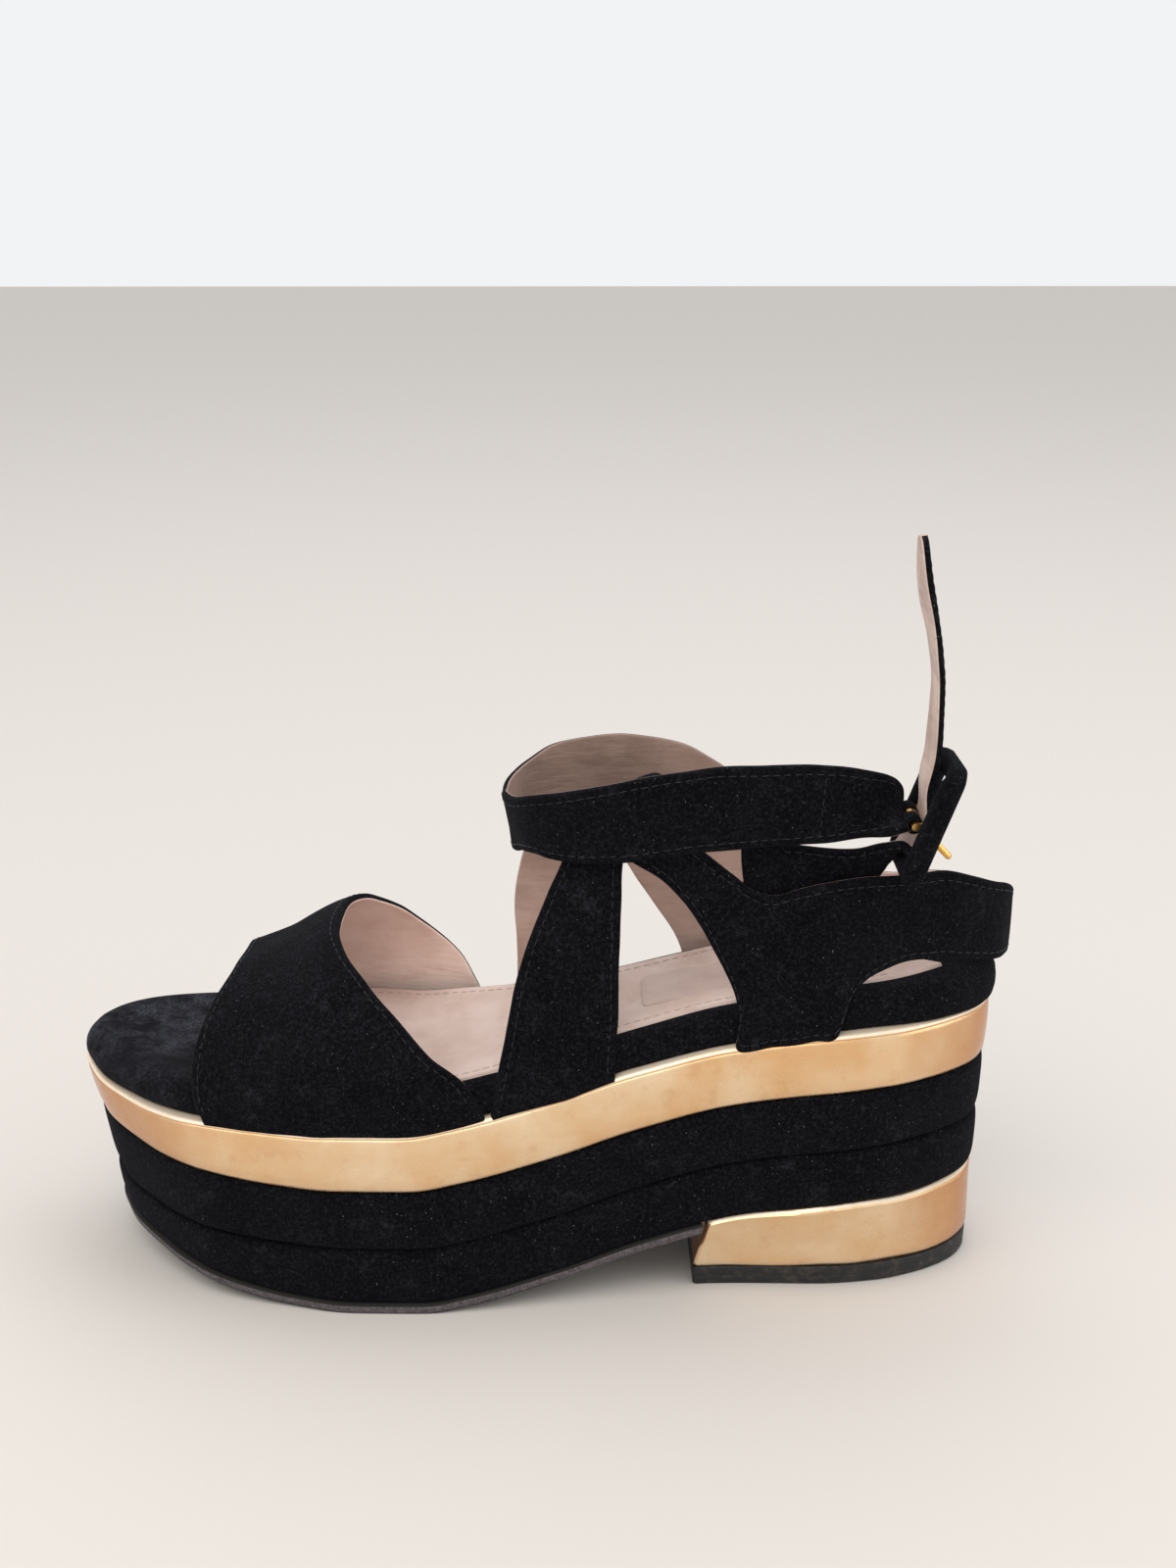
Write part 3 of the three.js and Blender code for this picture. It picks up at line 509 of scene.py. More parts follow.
def suede_material(name):
    """Black suede: a short matt nap that shows brushed patches, with flecks and hairs of pale lint."""
    material, tree, place = new_material(name)
    brushed = steps(tree, clouds(tree, place, 15, 5, 0.7), 0.36, 0.66)
    nap = clouds(tree, place, 0.9, 6, 0.9)
    worn = steps(tree, clouds(tree, place, 10, 6, 0.8), 0.56, 0.74)
    colour = blend_colours(tree, brushed, suede_dark, suede_lit)
    colour = blend_colours(tree, worn, colour, suede_rubbed)
    colour = blend_colours(tree, steps(tree, nap, 0.5, 0.72), colour, suede_rubbed)
    colour = blend_colours(tree, steps(tree, nap, 0.54, 0.4), colour, suede_dark)
    dusty = clouds(tree, place, 24, 3, 0.6)
    for size, stretch, limit in ((1.3, (1, 1, 1), 0.09), (5.2, (0.35, 0.35, 2.2), 0.035)):
        vector = shrink(tree, place, size, stretch)
        cells = node(tree, "ShaderNodeTexVoronoi", {"Scale": 1}, {"Vector": vector})
        near = steps(tree, cells.outputs["Distance"], limit * 1.6, limit * 0.6)
        chance = node(tree, "ShaderNodeSeparateColor", links={0: cells.outputs["Color"]}).outputs[0]
        kept = steps(tree, multiply(tree, chance, dusty), 0.34, 0.5)
        colour = blend_colours(tree, multiply(tree, near, kept), colour, lint_grey)
    relief = bump(tree, clouds(tree, place, 5, 3), 0.3, 0.5)
    finish_material(
        tree,
        {
            "Roughness": 0.95,
            "IOR": 1.45,
            "Specular IOR Level": 0.06,
            "Sheen Weight": 0.045,
            "Sheen Roughness": 0.5,
            "Sheen Tint": linear(nap_sheen),
        },
        {"Base Color": colour, "Normal": bump(tree, nap, 0.4, 1, relief)},
    )
    return material


layer_suede = suede_material("layer_suede")

soft_side = []
for i in range(17):
    share = 1 - i / 8
    swell = (1 - abs(share) ** layer_roundness) ** (1 / layer_roundness)
    soft_side.append((layer_bulge * (1 - swell), share))

for name, bottom, top in (("platform_lower", lower_bottom, groove), ("platform_upper", groove, band_bottom)):
    rings = [sole_ring(at, bottom, top, soft_side) for at in stations(0, 1, 170)]
    points, faces = loft(rings)
    slab = add_piece(name + "_suede", wavy(points, 22, 0.22, len(name)), faces, [layer_suede])
    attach(slab, "root")
    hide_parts(name)


# Midsole band: a strip of the metallic leather wrapped round the board above the layers.
# Its top edge is turned in over a cord, which leaves a lip with a fold line just under it; the lip is painted
# pale cream as a highlight.
band_side = [(4, 0.985), (1.3, 1.0), (0.55, 0.985), (0.15, 0.945), (0, 0.9), (0.02, 0.86), (0.22, 0.83)]
band_side += [(0.02, 0.8), (-0.12, 0.7), (-0.3, 0.4), (-0.34, 0), (-0.25, -0.5), (-0.05, -0.85)]
band_side += [(0.25, -0.96), (0.8, -1), (4, -1)]
lip_share = 0.89
rings = [sole_ring(at, band_bottom, band_top, band_side) for at in stations(0, 1, 190)]
points, faces = loft(rings)
around = 2 * len(band_side)
lip_steps = sum(1 for into, share in band_side[1:] if share > lip_share)
# The lip's faces take the painted highlight material.
slots = []
for k in range(len(faces)):
    step = min(k % around, around - 2 - k % around)
    slots.append(1 if 0 <= step < lip_steps and k < len(faces) - 2 else 0)
points = wavy(points, 30, 0.15, 3)
band = add_piece("midsole_band_leather", points, faces, [metallic_leather, fold_painted_highlight], slots)
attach(band, "root")
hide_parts("midsole_band")


# Footbed: a board padded with foam and covered in suede, its rim rolled over and deeper as a cup at the heel.
# Toes have worn the front to a paler grey; the darker ring round it is painted shade, standing for a pressed
# dish that the shape lacks.
bed_height = 9
bed_shoulder = 5
bed_dish = 2.2
bed_inset = 2
worn_grey = "#43444b"
toe_ring_painted_shade = "#101013"
bed_hollow = 0.8
hollow_half_width = 30


def share_of(x):
    return x / sole_length + 0.5


def bed_point(at, side, into, rise):
    """A point of the footbed: into is its distance in from the wall, rise its share of the rim's height."""
    x, y, _ = wall_point(at, side, band_top(at), bed_inset * sole("tuck", at) + into)
    here = min(1, max(0, share_of(x)))
    dished = min(1, max(0, (into - bed_shoulder) / ball_width) * 4)
    z = band_top(here) + bed_height * sole("bed", here) * rise - bed_dish * sole("dish", here) * dished
    return Vector((x, y, z))


rim = [(1, 0.02), (0.35, 0.1), (0.03, 0.24), (0, 0.4), (0.25, 0.58), (0.9, 0.75), (1.9, 0.88), (3.2, 0.96)]
rim += [(4.6, 1), (6.2, 1), (8.4, 0.97), (11, 0.93)]
bed_across = (0.15, 0.35, 0.6, 0.85, 1)


def bed_ring(at):
    """A ring of the footbed at a station, over its rims and across its slightly hollow middle."""
    near, far = ([bed_point(at, side, into, rise) for into, rise in rim] for side in (-1, 1))
    left, right = near[-1], far[-1]
    hollow = bed_hollow * min(1, half_width(at) / hollow_half_width)
    inner = []
    for share in bed_across[:-1] + tuple(2 - s for s in reversed(bed_across)):
        p = left.lerp(right, share / 2)
        p.z -= hollow * math.sin(math.pi * share / 2)
        inner.append(p)
    return near + inner + far[::-1]


points, faces = loft([bed_ring(at) for at in stations(0, 1, 170)])

# Worn suede: the same black suede, trodden grey in a ragged oval under the toes, with a ring of painted shade
# round it.
# The oval's limits are distances in millimetres from its centre, from clear to full.
worn_limits = (50, 28)
ring_in_limits = (27, 31)
ring_out_limits = (41, 33)
ragged_reach = 14

bed_suede = suede_material("footbed_suede")
tree = bed_suede.node_tree
shader = next(n for n in tree.nodes if n.type == "BSDF_PRINCIPLED")
colour = shader.inputs["Base Color"].links[0].from_socket
place = next(n for n in tree.nodes if n.type == "VECT_MATH").outputs[0]
toe_centre = wall_point(0.1, 0.2, band_top(0.1)) + Vector((*origin_shift, 10))
offset = node(tree, "ShaderNodeVectorMath", {"operation": "SUBTRACT", 1: toe_centre}, {0: place}).outputs[0]
oval = node(tree, "ShaderNodeVectorMath", {"operation": "MULTIPLY", 1: (0.8, 1, 0)}, {0: offset}).outputs[0]
away = node(tree, "ShaderNodeVectorMath", {"operation": "LENGTH"}, {0: oval}).outputs["Value"]
links = {0: clouds(tree, place, 8, 6, 0.75), 2: away}
ragged = node(tree, "ShaderNodeMath", {"operation": "MULTIPLY_ADD", 1: ragged_reach}, links).outputs[0]
toe_nap = clouds(tree, place, 0.9, 6, 0.9)
trodden = steps(tree, clouds(tree, place, 11, 5, 0.7), 0.38, 0.6)
worn_patches = blend_colours(tree, trodden, suede_lit, worn_grey)
worn_patches = blend_colours(tree, steps(tree, toe_nap, 0.55, 0.42), worn_patches, suede_lit)
# Painted shade: the pressed mask is a ring round the worn oval, darkened where a dish would fall into shade.
pressed = multiply(tree, steps(tree, ragged, *ring_in_limits), steps(tree, ragged, *ring_out_limits))
colour = blend_colours(tree, steps(tree, ragged, *worn_limits), colour, worn_patches)
colour = blend_colours(tree, steps(tree, pressed, 0, 1.4), colour, toe_ring_painted_shade)
tree.links.new(colour, shader.inputs["Base Color"])

footbed = add_piece("footbed_suede", wavy(points, 18, 0.25, 5), faces, [bed_suede])
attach(footbed, "root")
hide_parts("footbed")


# Sock: a thin sheet of pale pink leather glued on the footbed, from under the vamp strap to the heel.
# Its edge is cut, stitched about three millimetres in with thread of its own colour.
sock_front = 0.22
sock_back = 0.955
sock_margin = 6
sock_height = 0.9
sock_pink = "#d6c3ba"
sock_shade = "#c0a79b"
thread_pink = "#a58f85"
sock_stitch_inset = 3.2


def sock_ring(at, lift, inset):
    """Half a ring of the sock, from edge to edge; the margin is less where the sole is narrow."""
    half = half_width(at) - bed_inset * sole("tuck", at)
    first = min(sock_margin, half * 0.45) + inset
    places = [first + (half - first) * share for share in (0, 0.06, 0.14, 0.24, 0.36, 0.5, 0.66, 0.84, 0.98)]
    up = Vector((0, 0, lift))
    near, far = ([bed_point(at, side, into, 1) + up for into in places] for side in (-1, 1))
    return near + far[::-1]


def lining_material(name, light, shade):
    """Thin lining leather: smooth and pale, with fine pores and soft creases across it, the creases darkened
    with painted shade.
    """
    material, tree, place = new_material(name)
    tone = steps(tree, clouds(tree, place, 18, 4, 0.6), 0.3, 0.75)
    pores = clouds(tree, place, 0.45, 4, 0.7)
    creases = clouds(tree, place, 5, 3, 0.6, (2.4, 2.4, 0.5))
    colour = blend_colours(tree, tone, light, shade)
    colour = blend_colours(tree, steps(tree, pores, 0.6, 1.3), colour, shade)
    # Painted shade: the colour darkens along the low lines of the creases.
    colour = blend_colours(tree, steps(tree, creases, 0.48, 0.2), colour, shade)
    finish_material(
        tree,
        {"Roughness": 0.55, "IOR": 1.5, "Specular IOR Level": 0.35},
        {"Base Color": colour, "Normal": bump(tree, pores, 0.08, 0.6, bump(tree, creases, 0.5, 0.6))},
    )
    return material


sock_lining = lining_material("sock_leather", sock_pink, sock_shade)

rings = []
for at in stations(sock_front, sock_back, 90):
    under = sock_ring(at, 0.05, 0)
    over = sock_ring(at, sock_height, 0.25)
    rings.append(over + under[::-1])
points, faces = loft(rings)
sock = add_piece("sock_leather", points, faces, [sock_lining])
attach(sock, "root")
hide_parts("sock")


def normal_at(surface, u, v, outward):
    """The normal of a surface at a place; outward is 1 or -1 and chooses its side."""
    step = 2e-3
    along = surface(min(1, u + step), v) - surface(max(0, u - step), v)
    across = surface(u, min(1, v + step)) - surface(u, max(0, v - step))
    return along.cross(across).normalized() * outward


def circle(count):
    """The cosine and sine of each turn round a circle."""
    turns = [2 * math.pi * k / count for k in range(count)]
    return [(math.cos(turn), math.sin(turn)) for turn in turns]


def join(points, faces, more_points, more_faces):
    """Adds the points and faces of one mesh to those of another."""
    start = len(points)
    points += more_points
    faces += [tuple(k + start for k in face) for face in more_faces]


stitch_length = 2
stitch_gap = 0.8
stitch_thickness = 0.32
stitch_lift = 0.02
stitch_grain = ((0, 0.25), (0.18, 0.8), (0.5, 1), (0.82, 0.8), (1, 0.25))


def stitch_row(surface, edge, inset, outward, begin=0.02, end=0.98):
    """A row of stitches along one edge of a strap, each a small grain of thread lying on it."""
    spots = []
    count = 500
    for i in range(count + 1):
        u = begin + (end - begin) * i / count
        width = (surface(u, 1) - surface(u, 0)).length
        v = inset / width if edge == 0 else 1 - inset / width
        spots.append((surface(u, v) + normal_at(surface, u, v, outward) * stitch_lift, u, v))
    travelled = [0]
    for i in range(count):
        travelled.append(travelled[-1] + (spots[i + 1][0] - spots[i][0]).length)
    points, faces = [], []
    start = 0.5
    while start + stitch_length < travelled[-1]:
        rings = []
        for share, size in stitch_grain:
            reached = start + share * stitch_length
            p, u, v = next(spot for spot, t in zip(spots, travelled) if t >= reached)
            n = normal_at(surface, u, v, outward)
            ahead = (surface(min(1, u + 1e-3), v) - surface(max(0, u - 1e-3), v)).normalized()
            aside = n.cross(ahead)
            radius = stitch_thickness / 2 * size
            rings.append([p + (aside * c + n * s) * radius for c, s in circle(6)])
        join(points, faces, *loft(rings))
        start += stitch_length + stitch_gap
    return points, faces


def add_stitches(name, rows, material, settle=list):
    """All the stitches of a piece as one object, settled as the piece under them is."""
    points, faces = [], []
    for row in rows:
        join(points, faces, *row)
    piece = add_piece(name, settle(points), faces, [material], sharp=80)
    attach(piece, "root")
    return piece


def sock_edge(side):
    """The sock's surface near one of its edges, ten millimetres wide."""

    def surface(u, v):
        at = sock_front + 0.02 + (sock_back - sock_front - 0.05) * u
        return bed_point(at, side, sock_margin + 10 * v, 1) + Vector((0, 0, sock_height))

    return surface


# Cotton thread of the sock's own colour, spun and matt.
cotton_thread, tree, place = new_material("cotton_thread")
spun = bump(tree, clouds(tree, place, 0.25), 0.1)
finish_material(tree, {"Roughness": 0.8, "Base Color": linear(thread_pink)}, {"Normal": spun})
rows = [stitch_row(sock_edge(side), 0, sock_stitch_inset, -side) for side in (-1, 1)]
sock_stitches = add_stitches("sock_stitches", rows, cotton_thread)

# A small plain patch of leather is glued on the sock under the arch and left without any mark.
patch_middle = (46.5, -2.7)
patch_length = 31
patch_width = 20
patch_corner = 2
patch_pink = "#cdbab1"
patch_shade = "#b8a298"
patch_steps = ((0, -0.5), (0, 0.38), (0.3, 0.5), (1.5, 0.5), (4, 0.5), (8, 0.5))


def rounded_corner_path(width, length, radius, steps_each=8):
    """Points round a rectangle with round corners, in its own plane."""
    path = []
    for cx, cz, start in ((1, 1, 0), (-1, 1, 90), (-1, -1, 180), (1, -1, 270)):
        x, z = cx * (width / 2 - radius), cz * (length / 2 - radius)
        for k in range(steps_each + 1):
            turn = math.radians(start + 90 * k / steps_each)
            path.append(Vector((x + radius * math.cos(turn), z + radius * math.sin(turn))))
    return path


def over_sock(x, y, lift):
    """The point of the sock's face under a place, found in a few steps and lifted a little."""
    at, into = share_of(x), 20
    side = -1 if y < centre_line(at) else 1
    for _ in range(8):
        p = bed_point(at, side, into, 1)
        at += (x - p.x) / sole_length
        into -= side * (y - p.y)
    return Vector((x, y, p.z + sock_height + lift))


rings = []
for into, lift in patch_steps:
    path = rounded_corner_path(patch_length - 2 * into, patch_width - 2 * into, patch_corner)
    rings.append([over_sock(patch_middle[0] + p.x, patch_middle[1] + p.y, lift) for p in path])
points, faces = loft(rings)
patch_leather = lining_material("patch_leather", patch_pink, patch_shade)
patch = add_piece("sock_patch", points, faces, [patch_leather])
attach(patch, "root")


# Vamp strap: the wide strap over the toes, suede outside and pale leather inside, tucked under the footbed.
# It is cut from one curved piece, bonded to its lining and stitched two millimetres in from each edge.
strap_height = 2
strap_proud = 0.3
strap_sink = 1
toe_arch_height = 52
arch_fullness = 2.4
vamp_lap = 0.4
stitch_inset = 2.2
# Painted light: the vamp lining is given paler colours than the other linings, for the light on its inner
# face under the arch.
vamp_lining_pink = "#fbe2d6"
vamp_lining_shade = "#e6c6b8"

# Each row: the turn over the foot, and the stations of the strap's front and rear edges there.
vamp_rows = [
    (0, 0.16, 0.457),
    (0.05, 0.151, 0.434),
    (0.1, 0.149, 0.403),
    (0.18, 0.151, 0.369),
    (0.27, 0.157, 0.334),
    (0.36, 0.167, 0.308),
    (0.45, 0.179, 0.296),
    (0.55, 0.186, 0.301),
    (0.65, 0.186, 0.321),
    (0.75, 0.18, 0.351),
    (0.85, 0.17, 0.391),
    (0.93, 0.168, 0.427),
    (1, 0.17, 0.45),
]

# Each row: a station and the height of the arch over the foot there, as a share.
arch_rows = [
    (0, 0.45),
    (0.14, 0.57),
    (0.19, 0.645),
    (0.229, 0.722),
    (0.289, 0.895),
    (0.348, 0.97),
    (0.418, 1.06),
    (0.517, 1.25),
    (1, 1.3),
]
arch = smooth_column(arch_rows, 1)
vamp_front = smooth_column(vamp_rows, 1, float)
vamp_rear = smooth_column(vamp_rows, 2, float)


def signed_power(value, power):
    return math.copysign(abs(value) ** power, value)


def foot_point(at, turn):
    """A point of the arch over the foot at a station, turning from the lateral wall to the medial one."""
    angle = math.pi * min(1, max(0, turn))
    power = 2 / arch_fullness
    out = -signed_power(math.cos(angle), power)
    up = max(0, math.sin(angle)) ** power
    x, y, _ = wall_point(at, out, band_top(at), -strap_proud)
    return Vector((x, y, band_top(at) - vamp_lap + up * toe_arch_height * arch(rounded_share(at))))


def vamp_surface(u, v):
    return foot_point(vamp_front(u) + (vamp_rear(u) - vamp_front(u)) * v, u)


def lie_soft(points):
    """Straps bend a little where the foot has pressed them; their stitches follow."""
    return wavy(wavy(points, 17, 0.6, 11), 7, 0.15, 12)


# Steps of a strap's soft edge: millimetres in, and where its outside and inside lie in its thickness.
edge_steps = ((0, 0.78, 0.78), (0.06, 0.48, 0.93), (0.25, 0.2, 0.98), (0.6, 0.05, 1), (1.2, 0, 1))


def strap_mesh(surface, along, across, outward):
    """A strap with soft edges: points, faces and slots, suede outside and lining inside."""
    rings = []
    for i in range(along + 1):
        u = i / along
        line = [surface(u, k / 8) for k in range(9)]
        width = sum((line[k + 1] - line[k]).length for k in range(8))
        edges = [(min(0.3, d / width), over, under) for d, over, under in edge_steps]
        last = edges[-1][0]
        middle = [(last + (1 - 2 * last) * k / across, 0, 1) for k in range(1, across)]
        high = [(1 - d, over, under) for d, over, under in reversed(edges)]
        section = edges + middle + high
        spots = []
        for v, over, under in section:
            p, n = surface(u, v), normal_at(surface, u, v, outward)
            spots.append((p - n * strap_height * over, p - n * strap_height * under))
        outside = [spot[0] for spot in spots]
        inside = [spot[1] for spot in spots[1:-1]]
        rings.append(outside + inside[::-1])
    points, faces = loft(rings)
    count, covered = len(rings[0]), len(section)
    slots = [0 if (k % count) < covered - 1 else 1 for k in range(along * count)] + [1, 1]
    return points, faces, slots


# Waxed polyester thread: black, with a dull glint painted into its colour along the twist as a painted
# highlight.
thread_black = "#08080a"
thread_painted_glint = "#26262c"
black_thread, tree, place = new_material("waxed_thread")
twist = clouds(tree, place, 0.25, 2)
black_with_painted_glints = blend_colours(tree, steps(tree, twist, 0.4, 0.8), thread_black, thread_painted_glint)
finish_material(
    tree,
    {"Roughness": 0.5, "IOR": 1.5, "Specular IOR Level": 0.4},
    {"Base Color": black_with_painted_glints, "Normal": bump(tree, twist, 0.1)},
)

strap_suede = suede_material("strap_suede")
vamp_lining = lining_material("vamp_lining_leather", vamp_lining_pink, vamp_lining_shade)
points, faces, slots = strap_mesh(vamp_surface, 120, 30, -1)
vamp = add_piece("vamp_strap_suede", lie_soft(points), faces, [strap_suede, vamp_lining], slots)
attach(vamp, "root")
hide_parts("vamp_strap")
rows = [stitch_row(vamp_surface, edge, stitch_inset, -1) for edge in (0, 1)]
vamp_stitches = add_stitches("vamp_stitches", rows, black_thread, lie_soft)


# Crossed straps: the quarters and heel band are one long strap, and the riser laps it over the instep.
# Both are suede on pale leather, stitched along their edges, and joined where they cross.
ankle_half_width = 30
strap_rise = 75
strap_lining_pink = "#c9b0a4"
strap_lining_shade = "#a98f83"
lateral, medial = -1, 1
heel_seat = band_top(1)


def base(side, at):
    """A point where a strap leaves the top of the band, at a station of the sole."""
    x, y, z = wall_point(at, side, band_top(at) - strap_sink, -strap_proud)
    return Vector((x, y, z))


def spot(length_share, out, rise):
    """A point by its share of the length, of the ankle's half width and of the straps' rise."""
    x = -sole_length / 2 + length_share * sole_length
    return Vector((x, out * ankle_half_width, heel_seat + rise * strap_rise))


def smooth_line(points):
    """A centripetal Catmull-Rom curve through points, as a function of its share from first to last."""

    def value(t):
        place = min(max(t, 0), 1) * (len(points) - 1)
        i = min(int(place), len(points) - 2)
        s = place - i
        p1, p2 = points[i], points[i + 1]
        p0 = points[i - 1] if i else 2 * points[0] - points[1]
        p3 = points[i + 2] if i + 2 < len(points) else 2 * points[-1] - points[-2]
        d0, d1, d2 = ((b - a).length ** 0.5 for a, b in ((p0, p1), (p1, p2), (p2, p3)))
        d1 = d1 if d1 > 1e-4 else 1
        d0 = d0 if d0 > 1e-4 else d1
        d2 = d2 if d2 > 1e-4 else d1
        t1 = ((p1 - p0) / d0 - (p2 - p0) / (d0 + d1) + (p2 - p1) / d1) * d1
        t2 = ((p2 - p1) / d1 - (p3 - p1) / (d1 + d2) + (p3 - p2) / d2) * d1
        return p1 + t1 * s + (3 * (p2 - p1) - 2 * t1 - t2) * s**2 + (2 * (p1 - p2) + t1 + t2) * s**3

    return value


def ribbon(rows):
    """The surface of a strap between its low and high edges; plain numbers are those of a spot."""
    placed = [[spot(*p) if isinstance(p, tuple) else p for p in row] for row in rows]
    low, high = (smooth_line(edge) for edge in zip(*placed))
    return lambda u, v: low(u).lerp(high(u), v)


quarter_rows = [
    (base(medial, 0.483), base(medial, 0.58)),
    ((0.484, 0.92, 0.05), (0.58, 0.85, 0.1)),
    ((0.483, 0.85, 0.25), (0.58, 0.8, 0.3)),
    ((0.491, 0.75, 0.4), (0.582, 0.72, 0.48)),
    ((0.505, 0.55, 0.547), (0.586, 0.55, 0.61)),
    ((0.521, 0.2, 0.64), (0.594, 0.23, 0.72)),
    ((0.542, -0.23, 0.68), (0.602, -0.2, 0.78)),
    ((0.573, -0.63, 0.647), (0.612, -0.58, 0.787)),
    ((0.608, -0.85, 0.587), (0.628, -0.817, 0.767)),
    ((0.636, -0.9, 0.533), (0.656, -0.867, 0.7)),
    ((0.664, -0.94, 0.433), (0.688, -0.9, 0.613)),
    ((0.696, -0.98, 0.26), (0.711, -0.92, 0.553)),
    ((0.711, -1.01, 0.147), (0.727, -0.93, 0.507)),
    ((0.719, -1.05, 0.03), (0.743, -0.94, 0.483)),
    (base(lateral, 0.717), (0.757, -0.95, 0.48)),
    (base(lateral, 0.755), (0.775, -0.957, 0.5)),
    (base(lateral, 0.797), (0.797, -0.96, 0.52)),
    (base(lateral, 0.818), (0.821, -0.96, 0.533)),
    ((0.835, -1.01, 0.09), (0.846, -0.947, 0.54)),
    ((0.852, -0.965, 0.164), (0.868, -0.92, 0.541)),
    ((0.874, -0.91, 0.2), (0.89, -0.88, 0.541)),
    ((0.896, -0.85, 0.217), (0.912, -0.835, 0.541)),
    ((0.922, -0.77, 0.213), (0.934, -0.75, 0.533)),
    ((0.959, -0.65, 0.189), (0.965, -0.63, 0.502)),
    ((0.996, -0.46, 0.158), (0.998, -0.43, 0.455)),
    ((1.013, -0.2, 0.134), (1.016, -0.2, 0.412)),
    ((1.02, 0, 0.122), (1.022, 0, 0.374)),
    ((1.013, 0.2, 0.122), (1.016, 0.2, 0.357)),
    ((0.996, 0.45, 0.138), (0.998, 0.43, 0.347)),
    ((0.957, 0.64, 0.175), (0.963, 0.61, 0.351)),
    ((0.918, 0.75, 0.18), (0.932, 0.717, 0.341)),
    ((0.89, 0.817, 0.165), (0.91, 0.8, 0.326)),
    ((0.862, 0.867, 0.13), (0.886, 0.85, 0.327)),
    ((0.834, 0.883, 0.085), (0.862, 0.867, 0.34)),
    ((0.815, 0.9, 0.045), (0.838, 0.877, 0.357)),
    (base(medial, 0.803), (0.815, 0.877, 0.38)),
    (base(medial, 0.759), (0.787, 0.867, 0.41)),
    (base(medial, 0.719), (0.759, 0.85, 0.43)),
    (base(medial, 0.68), (0.733, 0.833, 0.44)),
    ((0.672, 0.85, 0.013), (0.717, 0.817, 0.453)),
    ((0.658, 0.833, 0.107), (0.702, 0.8, 0.48)),
    ((0.638, 0.8, 0.207), (0.68, 0.75, 0.547)),
    ((0.614, 0.717, 0.333), (0.66, 0.65, 0.62)),
    ((0.596, 0.567, 0.453), (0.64, 0.483, 0.68)),
]
riser_rows = [
    (base(lateral, 0.461), base(lateral, 0.592)),
    ((0.476, -1.18, -0.04), (0.593, -1.08, -0.067)),
    ((0.487, -1.067, 0.16), (0.595, -1.0, 0.16)),
    ((0.503, -0.957, 0.327), (0.596, -0.943, 0.34)),
    ((0.519, -0.85, 0.467), (0.597, -0.893, 0.48)),
    ((0.534, -0.75, 0.58), (0.598, -0.847, 0.58)),
    ((0.543, -0.483, 0.68), (0.602, -0.683, 0.707)),
    ((0.553, -0.1, 0.72), (0.616, -0.267, 0.807)),
    ((0.571, 0.267, 0.653), (0.638, 0.15, 0.793)),
    ((0.592, 0.547, 0.52), (0.654, 0.477, 0.707)),
    ((0.612, 0.727, 0.387), (0.668, 0.64, 0.62)),
]
strap_lining = lining_material("strap_lining_leather", strap_lining_pink, strap_lining_shade)
rows = []
made = (("quarter_straps", quarter_rows, 430, 1), ("riser_strap", riser_rows, 110, -1))
for name, edges, along, outward in made:
    surface = ribbon(edges)
    points, faces, slots = strap_mesh(surface, along, 12, outward)
    strap = add_piece(name + "_suede", lie_soft(points), faces, [strap_suede, strap_lining], slots)
    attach(strap, "root")
    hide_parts("cross_straps")
    rows += [stitch_row(surface, edge, stitch_inset, outward) for edge in (0, 1)]
cross_stitches = add_stitches("cross_strap_stitches", rows, black_thread, lie_soft)


# Ankle strap: runs from the buckle's bar forward on the lateral side, round the front and back to the heel.
# Its end is folded round the bar and sewn down with one upright row of stitches.
# Painted shade: the ankle strap's lining is given darker colours than the other linings, for the shade where
# it lies behind the lateral strap.
ankle_lining_pink = "#a48a7e"
ankle_lining_shade = "#7d665b"
bar_offset = 4.9
buckle_centre = spot(0.9075, -0.967, 0.767)
bar_centre = buckle_centre + Vector((-bar_offset, 0, 0))
wrap_half = 6.4
wrap_outer = 2.4
wrap_inner = 1.25
wrap_edge = 0.3
prong_gap = 1.7

ankle_rows = [
    (bar_centre + Vector((-1.2, -wrap_half, 0)), bar_centre + Vector((-1.2, wrap_half, 0))),
    ((0.872, -1.21, 0.757), (0.883, -0.77, 0.848)),
    ((0.859, -1.133, 0.724), (0.867, -0.9, 0.91)),
    ((0.838, -1.06, 0.7), (0.84, -1.01, 0.941)),
    ((0.807, -1.033, 0.683), (0.807, -1.033, 0.955)),
    ((0.751, -1.033, 0.664), (0.751, -1.033, 0.957)),
    ((0.696, -1.033, 0.656), (0.696, -1.033, 0.949)),
    ((0.648, -1.033, 0.633), (0.644, -1.033, 0.928)),
    ((0.6, -1.01, 0.608), (0.596, -1.017, 0.897)),
    ((0.557, -0.943, 0.596), (0.553, -0.967, 0.864)),
    ((0.525, -0.817, 0.597), (0.513, -0.833, 0.827)),
    ((0.507, -0.617, 0.593), (0.487, -0.6, 0.789)),
    ((0.495, -0.267, 0.553), (0.473, -0.233, 0.76)),
    ((0.485, 0.1, 0.5), (0.471, 0.133, 0.733)),
    ((0.481, 0.467, 0.467), (0.474, 0.5, 0.731)),
    ((0.488, 0.8, 0.467), (0.493, 0.817, 0.76)),
    ((0.517, 1.0, 0.5), (0.525, 1.0, 0.808)),
    ((0.565, 1.083, 0.533), (0.569, 1.067, 0.833)),
    ((0.612, 1.1, 0.54), (0.616, 1.093, 0.836)),
    ((0.656, 1.1, 0.507), (0.668, 1.093, 0.803)),
    ((0.688, 1.083, 0.44), (0.705, 1.077, 0.74)),
    ((0.719, 1.04, 0.347), (0.743, 1.03, 0.64)),
    ((0.751, 0.99, 0.253), (0.779, 0.98, 0.533)),
    ((0.775, 0.965, 0.14), (0.801, 0.965, 0.365)),
]
